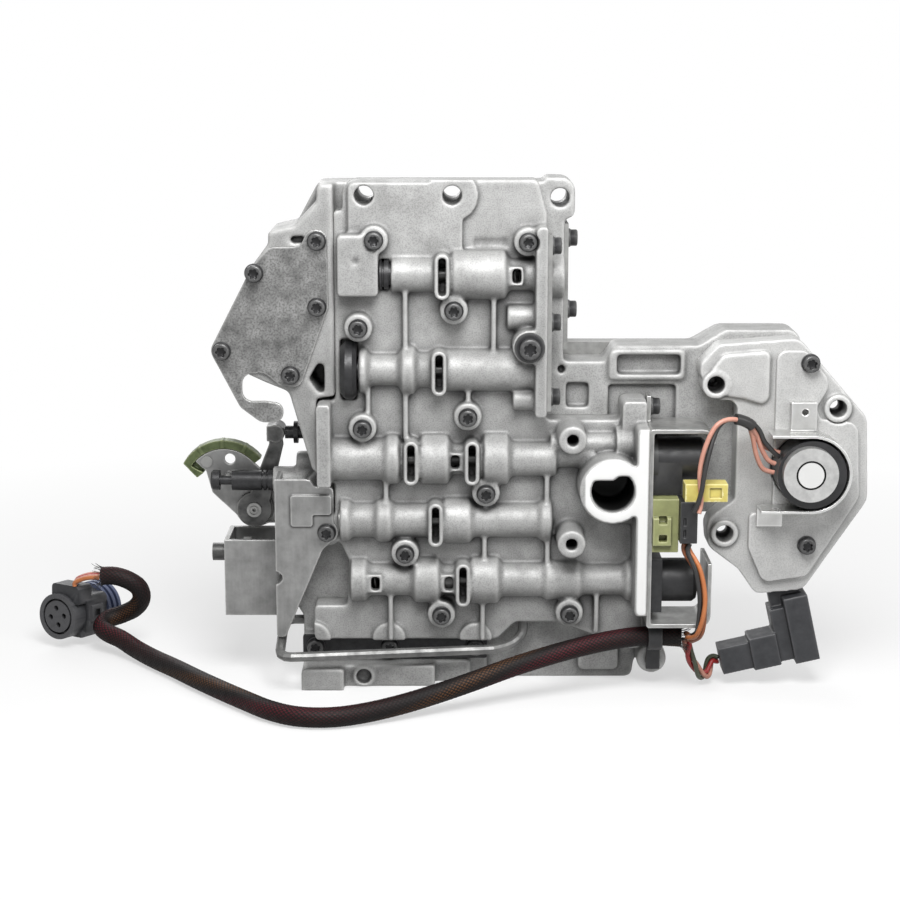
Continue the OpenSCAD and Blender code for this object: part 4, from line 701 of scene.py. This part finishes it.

# %% [markdown]
# ## Aluminium
# The housings are die cast: a pale grey skin with a fine grain and small dark pores, with painted
# shade in the deep corners. A clean metal shader would mirror the studio, so the castings are only a
# little metallic, and pores and painted shade carry the look. The case plate is milled, with marks
# along one axis.

# %% Aluminium
# Edge tones are partly wear and partly a painted highlight; corner tones and the deep tone are
# painted shade.
cast = finish(
    "cast_aluminium", light=(0.45, 0.45, 0.445), dark=(0.31, 0.31, 0.305), metal=0.3,
    rough=(0.48, 0.64), mottle=75, grain=1500, bump=0.32, depth=0.12 * MM,
    edge=(0.56, 0.56, 0.55), corner_shade=(0.09, 0.09, 0.09), speckle=0.34,
    faced=(0.86, 0.86, 0.85), painted_deep_shade=(0.05, 0.05, 0.05),
)
light_cast = finish(
    "light_cast_aluminium", light=(0.6, 0.6, 0.59), dark=(0.47, 0.47, 0.465), metal=0.3,
    rough=(0.44, 0.6), mottle=60, grain=1500, bump=0.3, depth=0.12 * MM,
    edge=(0.7, 0.7, 0.69), corner_shade=(0.11, 0.11, 0.11), speckle=0.24, painted_deep_shade=(0.05, 0.05, 0.05),
)
machined = finish(
    "machined_aluminium", light=(0.46, 0.46, 0.45), dark=(0.34, 0.34, 0.335), metal=0.5,
    rough=(0.32, 0.45), mottle=40, grain=1200, bump=0.15, depth=0.05 * MM,
    edge=(0.62, 0.62, 0.61), corner_shade=(0.12, 0.12, 0.12), speckle=0.25, streak=(40, 700, 900),
)
print("aluminium:", cast.name, light_cast.name, machined.name)

# %% [markdown]
# ## Steel sheet
# Covers, brackets and levers are cut from sheet. Rolled sheet keeps marks that run one way, the side
# lid is blotchy, the strap is bright, one bracket is zinc plated and the throttle lever is oiled. An
# image of each could be wrapped on, but the recipe needs no image and fits any shape.

# %% Steel sheet
# Edge tones are partly wear and partly a painted highlight; corner tones are painted shade.
rolled = finish(
    "rolled_steel", light=(0.36, 0.36, 0.355), dark=(0.17, 0.17, 0.168), metal=0.55,
    rough=(0.34, 0.5), mottle=120, grain=900, bump=0.15, depth=0.05 * MM,
    edge=(0.56, 0.56, 0.55), corner_shade=(0.05, 0.05, 0.05), streak=(420, 300, 40),
)
stamped = finish(
    "stamped_steel", light=(0.34, 0.34, 0.335), dark=(0.12, 0.12, 0.118), metal=0.45,
    rough=(0.36, 0.52), mottle=110, grain=1000, bump=0.25, depth=0.08 * MM,
    edge=(0.5, 0.5, 0.49), corner_shade=(0.06, 0.06, 0.06), speckle=0.5,
)
bright_steel = finish(
    "bright_steel", light=(0.66, 0.66, 0.65), dark=(0.48, 0.48, 0.47), metal=0.85,
    rough=(0.24, 0.38), mottle=90, grain=1000, bump=0.1, depth=0.05 * MM,
    edge=(0.85, 0.85, 0.84), corner_shade=(0.14, 0.14, 0.14),
)
zinc = finish(
    "zinc_steel", light=(0.38, 0.38, 0.37), dark=(0.24, 0.24, 0.235), metal=0.6,
    rough=(0.32, 0.46), mottle=120, grain=1000, bump=0.12, depth=0.05 * MM,
    edge=(0.62, 0.62, 0.61), corner_shade=(0.07, 0.07, 0.07),
)
oiled = finish(
    "oiled_steel", light=(0.13, 0.13, 0.127), dark=(0.05, 0.05, 0.05), metal=0.55,
    rough=(0.28, 0.42), mottle=150, grain=1200, bump=0.1, edge=(0.36, 0.36, 0.35),
)
print("sheet:", rolled.name, stamped.name, bright_steel.name, zinc.name, oiled.name)

# %% [markdown]
# ## Turned, drawn and black steel
# Spools and shafts come from a lathe, the tube is drawn, and plugs and screws are turned black in a
# bath. They differ in brightness more than in pattern, so a fine mottle and a slight bump are enough.
# The ledge strip takes the same black as painted shade.

# %% Turned, drawn and black steel
turned = finish(
    "turned_steel", light=(0.38, 0.38, 0.37), dark=(0.24, 0.24, 0.235), metal=0.6,
    rough=(0.32, 0.46), mottle=120, grain=1000, bump=0.12,
)
drawn = finish(
    "drawn_steel", light=(0.24, 0.24, 0.235), dark=(0.13, 0.13, 0.128), metal=0.6,
    rough=(0.34, 0.48), mottle=120, grain=1000, bump=0.12,
)
dark_turned = finish(
    "dark_turned_steel", light=(0.12, 0.12, 0.117), dark=(0.05, 0.05, 0.05), metal=0.5,
    rough=(0.28, 0.42), mottle=150, grain=1200, bump=0.1,
)
black_and_shade_steel = finish(
    "black_steel_and_painted_shade", light=(0.03, 0.03, 0.032), dark=(0.014, 0.014, 0.015), metal=0.2,
    rough=(0.34, 0.48), mottle=400, grain=2500, bump=0.12,
)
# The edge tone is partly wear and partly a painted highlight on the screw rims.
oxide = finish(
    "black_oxide", light=(0.03, 0.03, 0.032), dark=(0.012, 0.012, 0.013), metal=0.3,
    rough=(0.26, 0.4), mottle=400, grain=2500, bump=0.12, edge=(0.11, 0.11, 0.11),
)
print("steel:", turned.name, drawn.name, dark_turned.name, black_and_shade_steel.name, oxide.name)

# %% [markdown]
# ## Paint, plastic and rubber
# The cam has a green coat, the plugs and sockets are moulded, and a blue rubber ring seals the
# connector. Moulded skins aren't metallic at all and have a finer grain. Their edges are a little
# lighter, partly where handling has rubbed them and partly as a painted highlight, and their corners
# darker as painted shade.

# %% Paint, plastic and rubber
# Edge tones are partly wear and partly a painted highlight; corner tones are painted shade.
green = finish(
    "green_coat", light=(0.15, 0.19, 0.08), dark=(0.06, 0.08, 0.03), metal=0.3,
    rough=(0.34, 0.5), mottle=160, grain=1500, bump=0.15,
    edge=(0.34, 0.38, 0.2), corner_shade=(0.03, 0.04, 0.015),
)
plastic = finish(
    "black_plastic", light=(0.02, 0.02, 0.022), dark=(0.010, 0.010, 0.011), metal=0.0,
    rough=(0.38, 0.54), mottle=200, grain=2600, bump=0.2, edge=(0.05, 0.05, 0.05),
)
grey_plastic = finish(
    "grey_plastic", light=(0.04, 0.041, 0.045), dark=(0.022, 0.023, 0.026), metal=0.0,
    rough=(0.42, 0.58), mottle=180, grain=2600, bump=0.2,
    edge=(0.085, 0.085, 0.09), corner_shade=(0.01, 0.01, 0.011),
)
olive = finish(
    "olive_plastic", light=(0.32, 0.34, 0.15), dark=(0.22, 0.23, 0.10), metal=0.0,
    rough=(0.35, 0.5), mottle=120, grain=2200, bump=0.15,
    edge=(0.45, 0.46, 0.25), corner_shade=(0.06, 0.06, 0.03),
)
yellow = finish(
    "yellow_plastic", light=(0.76, 0.66, 0.20), dark=(0.60, 0.50, 0.13), metal=0.0,
    rough=(0.3, 0.45), mottle=120, grain=2200, bump=0.15,
    edge=(0.85, 0.78, 0.4), corner_shade=(0.25, 0.2, 0.05),
)
rubber = finish(
    "blue_rubber", light=(0.055, 0.075, 0.15), dark=(0.03, 0.04, 0.085), metal=0.0,
    rough=(0.45, 0.62), mottle=180, grain=2200, bump=0.2, edge=(0.1, 0.12, 0.2),
)
print("materials:", len(bpy.data.materials))

# %% [markdown]
# ## A solenoid with a cap
# The governor's solenoid is a black can that ends in a bright steel cap with a dark groove. Two
# materials would need faces picked by hand, so masks by place choose the tone instead: what lies in
# front of the can is steel, and discs mark the core and the groove.

# %% The governor solenoid: a black can with a bright steel cap
CAP_SPOT = (176.4 * MM, 116.4 * MM)
CAP_CORE_R = 6.45 * MM
CAP_WELL_R = 7.6 * MM
CAN_FRONT = -34 * MM
GROOVE_TOP, GROOVE_FLOOR = -39.6 * MM, -39.2 * MM
capped = bpy.data.materials.new("capped_solenoid")
capped.use_nodes = True
tree = capped.node_tree
shader = tree.nodes["Principled BSDF"]
forward = split_place(tree)["Y"]
steel = remap(tree, forward, CAN_FRONT - 0.05 * MM, CAN_FRONT - 0.15 * MM)
skin = place_group(tree, grain_group, Mottle_Scale=220.0, Grain_Scale=2200.0)
mottle = skin.outputs["Mottle"]
can_tone = blend_colours(tree, mottle, (0.012, 0.012, 0.013), (0.024, 0.024, 0.026))
cap_tone = blend_colours(tree, mottle, (0.46, 0.46, 0.455), (0.64, 0.64, 0.63))
core = in_disc(tree, CAP_SPOT, CAP_CORE_R)
cap_tone = blend_colours(tree, core, cap_tone, (0.8, 0.8, 0.79))
groove = remap(tree, forward, GROOVE_TOP, GROOVE_FLOOR)
ring = math_node(tree, "MULTIPLY", groove, in_disc(tree, CAP_SPOT, CAP_WELL_R))
cap_tone = blend_colours(tree, ring, cap_tone, (0.02, 0.02, 0.02))
join(tree, blend_colours(tree, steel, can_tone, cap_tone), shader.inputs["Base Color"])
join(tree, math_node(tree, "MULTIPLY", steel, 0.8), shader.inputs["Metallic"])
join(tree, remap(tree, mottle, 0.0, 1.0, 0.42, 0.3), shader.inputs["Roughness"])
print("capped solenoid made")

# %% [markdown]
# ## The braid's colours
# The sleeve's strands are black, and dark red and brown wires show through its gaps. An image of the
# weave would have to be unwrapped along the sleeve. The colour layer in its mesh does it instead: its
# red channel is the height of the weave, and its green one says which wire lies below.

# %% The braid's own material
braid = bpy.data.materials.new("braid_weave")
braid.use_nodes = True
tree = braid.node_tree
shader = tree.nodes["Principled BSDF"]
layer = add_node(tree, "ShaderNodeAttribute", attribute_name="weave")
channels = add_node(tree, "ShaderNodeSeparateColor")
join(tree, layer.outputs["Color"], channels.inputs[0])
ramp = add_node(tree, "ShaderNodeValToRGB")
stops = ramp.color_ramp
stops.interpolation = "EASE"
DARK_GAP, RED_GAP = (0.012, 0.009, 0.009), (0.03, 0.008, 0.009)
for spot, colour in (
    (0.2, (0.085, 0.011, 0.017)), (0.38, DARK_GAP), (0.55, (0.095, 0.042, 0.018)), (0.72, DARK_GAP),
):
    stops.elements.new(spot).color = (*colour, 1)
for end in (0, -1):
    stops.elements[end].color = (*RED_GAP, 1)
join(tree, channels.outputs["Green"], ramp.inputs[0])
skin = place_group(tree, grain_group, Mottle_Scale=90.0, Grain_Scale=2600.0)
mottle = skin.outputs["Mottle"]
strand_tone = blend_colours(tree, mottle, (0.004, 0.004, 0.004), (0.010, 0.008, 0.008))
shown = remap(tree, channels.outputs["Red"], 0.2, 0.5)
join(tree, blend_colours(tree, shown, ramp.outputs[0], strand_tone), shader.inputs["Base Color"])
join(tree, remap(tree, skin.outputs["Grain"], 0.3, 0.7, 0.48, 0.62), shader.inputs["Roughness"])
shader.inputs["Specular IOR Level"].default_value = 0.18
sleeve.data.materials.append(braid)
print("braid made")

# %% [markdown]
# ## Coloured insulation
# Each wire has a smooth coat of one colour, so that a fitter can tell them apart. The recipe with a
# low roughness and hardly any bump makes the coat, and a short list gives each wire its tone.


# %% Coloured insulation
def insulation(name, light, dark):
    """A smooth, slightly shiny wire coat."""
    return finish(name, light, dark, metal=0.0, rough=(0.3, 0.45), mottle=120, grain=1800, bump=0.1)


wire_tones = {
    "orange": insulation("orange_wire", (0.62, 0.22, 0.08), (0.48, 0.15, 0.05)),
    "brown": insulation("brown_wire", (0.36, 0.12, 0.05), (0.26, 0.08, 0.03)),
    "black": insulation("black_wire", (0.03, 0.028, 0.028), (0.018, 0.018, 0.018)),
    "red": insulation("red_wire", (0.48, 0.04, 0.04), (0.34, 0.025, 0.025)),
    "pink": insulation("pink_wire", (0.66, 0.34, 0.26), (0.52, 0.24, 0.18)),
    "green": insulation("green_wire", (0.09, 0.10, 0.06), (0.05, 0.06, 0.035)),
}
for group, tones in (
    ("solenoid_wire", "orange brown black"),
    ("governor_wire", "pink black pink pink"),
    ("sensor_wire", "red pink green"),
    ("connector_wire", "orange pink red pink"),
):
    for k, tone in enumerate(tones.split()):
        wires[f"{group}_{k + 1}"].data.materials.append(wire_tones[tone])
for made in (wires["governor_tape"], fray):
    made.data.materials.append(wire_tones["black"])
print("wire colours:", sorted(wire_tones))

# %% [markdown]
# ## Soft-edged castings and sheet
# A die casting has no sharp corner, inside or out, and a stamped sheet has a rolled edge. A bevel
# would only soften the outer corners, so each piece is skinned with small voxels, smoothed, and
# thinned to a sensible number of faces.


# %% Skin one piece
def apply_modifiers(piece):
    """Gives a piece the mesh that its modifiers make, and takes them off."""
    seen = piece.evaluated_get(bpy.context.evaluated_depsgraph_get())
    made = bpy.data.meshes.new_from_object(seen)
    piece.modifiers.clear()
    piece.data = made
    return made


def hand_in(piece, node):
    """Lets a piece ride with the CAD node's body and stand for that node, which it hides."""
    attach(piece, nodes[node]["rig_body"])
    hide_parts(node)


def skin_piece(node, name, voxel, passes, most, material):
    """Makes a soft-edged copy of a CAD node that replaces it."""
    piece = bpy.data.objects.new(name, nodes[node].data.copy())
    scene.collection.objects.link(piece)
    grid = piece.modifiers.new("grid", "REMESH")
    grid.mode = "VOXEL"
    grid.voxel_size = voxel * MM
    grid.use_smooth_shade = True
    soften = piece.modifiers.new("soften", "SMOOTH")
    soften.factor = 0.5
    soften.iterations = passes
    made = apply_modifiers(piece)
    triangles = 2 * len(made.polygons)
    if triangles > most:
        thin = piece.modifiers.new("thin", "DECIMATE")
        thin.ratio = most / triangles
        made = apply_modifiers(piece)
    made.name = name
    made.polygons.foreach_set("use_smooth", [True] * len(made.polygons))
    made.materials.clear()
    made.materials.append(material)
    hand_in(piece, node)
    return piece


print("skin ready")

# %% Skin the castings, sheets and plastic pieces
for node, name, voxel, passes, most, material, slot in (
    ("valve_housing", "front_casting", 0.75, 11, 180000, cast, "cast"),
    ("upper_housing", "rear_casting", 0.9, 8, 120000, cast, "cast"),
    ("governor_body", "governor_casting", 0.7, 8, 70000, light_cast, "cast"),
    ("transfer_plate", "case_plate", 1.0, 4, 70000, machined, "machined"),
    ("governor_cover", "governor_lid", 0.45, 4, 24000, light_cast, "machined"),
    ("side_cover", "side_lid", 0.45, 3, 24000, stamped, "sheet_steel"),
    ("adjusting_bracket", "adjusting_sheet", 0.5, 3, 40000, rolled, "sheet_steel"),
    ("solenoid_bracket", "solenoid_sheet", 0.5, 3, 40000, zinc, "sheet_steel"),
    ("solenoid_strap", "solenoid_band", 0.4, 3, 24000, bright_steel, "sheet_steel"),
    ("manual_lever", "manual_plate", 0.35, 3, 16000, rolled, "sheet_steel"),
    ("lever_cam", "lever_cam_plate", 0.35, 3, 16000, green, "cam_green"),
    ("throttle_lever", "throttle_plate", 0.35, 3, 16000, oiled, "dark_steel"),
    ("sensor_connector", "sensor_housing", 0.45, 3, 30000, grey_plastic, "black_plastic"),
    ("solenoid_connector", "solenoid_socket", 0.35, 3, 16000, olive, "olive_plastic"),
    ("connector_clip", "solenoid_plug", 0.35, 3, 14000, plastic, "black_plastic"),
    ("terminal_tag", "terminal_block", 0.3, 3, 14000, yellow, "yellow_plastic"),
    ("harness_clip", "sleeve_clip", 0.35, 3, 12000, plastic, "black_plastic"),
):
    made = skin_piece(node, name, voxel, passes, most, material)
    print(name, len(made.data.polygons), "faces")

# %% [markdown]
# ## Turned and plain pieces
# Valves, plugs, shafts, solenoids and the connector are true already in the CAD model. A skin of
# voxels would blur their rims, so they keep their solids and only take a finish. The steel finishes
# here have no lighter edges, neither wear nor painted highlight, because the edge mask reads a mesh's
# points, and a lathe part's mesh has them on its rims alone.

# %% Dress the plain nodes
for material, names in (
    (turned, "separator_plate transfer_separator end_cover upper_end_cover lower_row_plugs"),
    (turned, "spring_seat manual_shaft throttle_shaft cam_rivet"),
    (dark_turned, "limit_valve shuttle_valve upshift_valve downshift_valve clutch_valve"),
    (dark_turned, "regulator_valve line_pressure_screw"),
    (drawn, "pressure_tube"),
    # The ledge strip is made black as painted shade, for the dark band under the casting's lower
    # edge.
    (black_and_shade_steel, "first_row_plug second_row_plug manual_valve kickdown_valve ledge_strip"),
    (plastic, "overdrive_solenoid lockup_solenoid"),
    (capped, "governor_solenoid"),
    (grey_plastic, "case_connector"),
    (rubber, "connector_seal"),
):
    for name in names.split():
        nodes[name].data.materials.clear()
        nodes[name].data.materials.append(material)
print("plain nodes dressed")

# %% [markdown]
# ## Spring coils
# Each spool pushes a coil against the closed end of its bore. Every coil is copied as a piece that
# rides with its CAD node. The regulator's coil stands between two moving pieces, so it is copied in
# two halves, one from each end.


# %% Copy a coil
def coil(name, node, moving_end, half=False):
    """A copy of a coil, or of the half at its moving end, that rides with its CAD node."""
    bm = bmesh.new()
    bm.from_mesh(nodes[node].data)
    bmesh.ops.remove_doubles(bm, verts=bm.verts, dist=0.001 * MM)
    spots = [v.co.x for v in bm.verts]
    still = min(spots) if moving_end > 0 else max(spots)
    if half:
        still = (min(spots) + max(spots)) / 2
        whole = bm.verts[:] + bm.edges[:] + bm.faces[:]
        cut = bmesh.ops.bisect_plane(
            bm, geom=whole, plane_co=(still, 0, 0), plane_no=(moving_end, 0, 0), clear_inner=True
        )
        rim = [e for e in cut["geom_cut"] if isinstance(e, bmesh.types.BMEdge)]
        bmesh.ops.edgeloop_fill(bm, edges=rim)
    length = max(abs(v.co.x - still) for v in bm.verts)
    mesh = smooth_mesh(bm, name, sharp=50)
    mesh.materials.append(dark_turned)
    piece = bpy.data.objects.new(name, mesh)
    scene.collection.objects.link(piece)
    hand_in(piece, node)
    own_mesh(piece)
    return length


print("coil ready")

# %% Copy the coils
for name, node, joint, travel, moving_end, half in (
    ("limit_coil", "limit_spring", "limit_slide", 6, -1, False),
    ("shuttle_coil", "shuttle_spring", "shuttle_slide", 6, -1, False),
    ("upshift_coil", "upshift_spring", "upshift_slide", 6, -1, False),
    ("downshift_coil", "downshift_spring", "downshift_slide", 6, -1, False),
    ("clutch_coil", "clutch_spring", "clutch_slide", 6, 1, False),
    ("regulator_coil", "regulator_spring", "regulator_slide", 5, 1, True),
    ("seat_coil", "regulator_spring", "spring_seat_slide", 2, -1, True),
):
    length = coil(name, node, moving_end, half)
    print(name, round(length / MM, 1), "mm, shortens by", travel, "mm")

# %% [markdown]
# ## Screws
# Every screw has a round flanged head with a six-lobed socket. One head is turned from rings of
# points, with the socket's rings waved six times, and copies of it stand at the CAD's screw spots.

# %% One screw, turned from rings
RING = 48
LOBES = 6


def ring_points(radius, height, wave=0.0):
    """A ring about Z, waved six times where it belongs to the socket."""
    made = []
    for k in range(RING):
        angle = 2 * math.pi * k / RING
        r = radius * (1 + wave * math.cos(LOBES * angle))
        made.append((r * math.cos(angle), r * math.sin(angle), height))
    return made


def screw_mesh(head_d=9.5, head_h=5.0, shank_d=5.0, reach=6.0, washer_d=None):
    """A flanged screw whose seat is at Z = 0 and whose head points to +Z, in millimetres."""
    flange = (washer_d or head_d) / 2
    inner = head_d / 2 - 0.6
    shank = [(shank_d / 2, -reach), (shank_d / 2, 0.0)]
    collar = [
        (flange - 0.15, 0.0), (flange, 0.15), (flange, head_h * 0.2),
        (flange - 0.25, head_h * 0.28), (inner + 0.2, head_h * 0.31),
    ]
    head = [
        (inner, head_h * 0.36), (inner, head_h - 0.7), (inner - 0.2, head_h - 0.25),
        (inner - 0.7, head_h),
    ]
    socket = [
        (inner * 0.64, head_h, 0.0), (inner * 0.58, head_h - 0.15, 0.12),
        (inner * 0.55, head_h - 0.5, 0.15), (inner * 0.53, head_h - 2.6, 0.15),
        (inner * 0.3, head_h - 2.9, 0.05),
    ]
    bm = bmesh.new()
    rings = shank + collar + head + socket
    close_tube(bm, [[bm.verts.new(p) for p in ring_points(*ring)] for ring in rings])
    return bm


print("screw ready")


# %% A group of screws
def screw_group(name, node, seats, **sizes):
    """Copies of one screw, joined as one piece. A seat is a point and the way its head looks."""
    whole = bmesh.new()
    for place, facing in seats:
        one = screw_mesh(**sizes)
        turn = Vector(facing).to_track_quat("Z", "Y").to_matrix().to_4x4()
        spin = Matrix.Rotation(random.uniform(0, math.pi / 3), 4, "Z")
        move = Matrix.Translation(Vector(place) * MM)
        one.transform(move @ turn @ spin @ Matrix.Scale(MM, 4))
        part = bpy.data.meshes.new("one_screw")
        one.to_mesh(part)
        one.free()
        whole.from_mesh(part)
        bpy.data.meshes.remove(part)
    mesh = smooth_mesh(whole, name, sharp=40)
    mesh.materials.append(oxide)
    piece = bpy.data.objects.new(name, mesh)
    scene.collection.objects.link(piece)
    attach(piece, "body")
    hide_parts(node)
    print(name, len(seats))


print("screw groups ready")

# %% Place the screws
FRONT, RIGHT = (0, -1, 0), (1, 0, 0)
housing_spots = [
    (-37, 229.5), (-45, 186.4), (1.9, 195.1), (38, 228.6), (8.8, 142.1), (-43.3, 136.4),
    (17.9, 103.5), (-22.5, 72.6), (-4.3, 40.6), (60.2, 41.4),
]
seats = [((x, -23, z), FRONT) for x, z in housing_spots] + [((-62, -16.5, 82), FRONT)]
screw_group("housing_star_screws", "housing_screws", seats)
cover_spots = [(-65, 228.6), (-95.8, 213), (-65.2, 196.3), (-112.5, 174.5), (-78.8, 162.5)]
seats = [((x, -18, z), FRONT) for x, z in cover_spots]
screw_group("side_star_screws", "side_cover_screws", seats)
seats = [((x, -6, 19), FRONT) for x in (-69, -31, 13)]
screw_group("ledge_star_screws", "ledge_strip_screws", seats)
seats = [((178, -17.5, 168.3), FRONT), ((179.3, -17.5, 75.7), FRONT)]
screw_group("governor_star_screws", "governor_screws", seats)
seats = [((49.6, -15, z), RIGHT) for z in (226, 188.25, 151)]
seats += [((59, 13.5, z), RIGHT) for z in (227, 191)] + [((100, -8, 145), RIGHT)]
screw_group("end_star_screws", "end_screws", seats)
seats = [((38.8, -30, 178), FRONT)]
bolt = {"head_d": 11.4, "head_h": 8, "shank_d": 6, "washer_d": 15}
screw_group("flange_star_bolt", "flange_bolt", seats, **bolt)
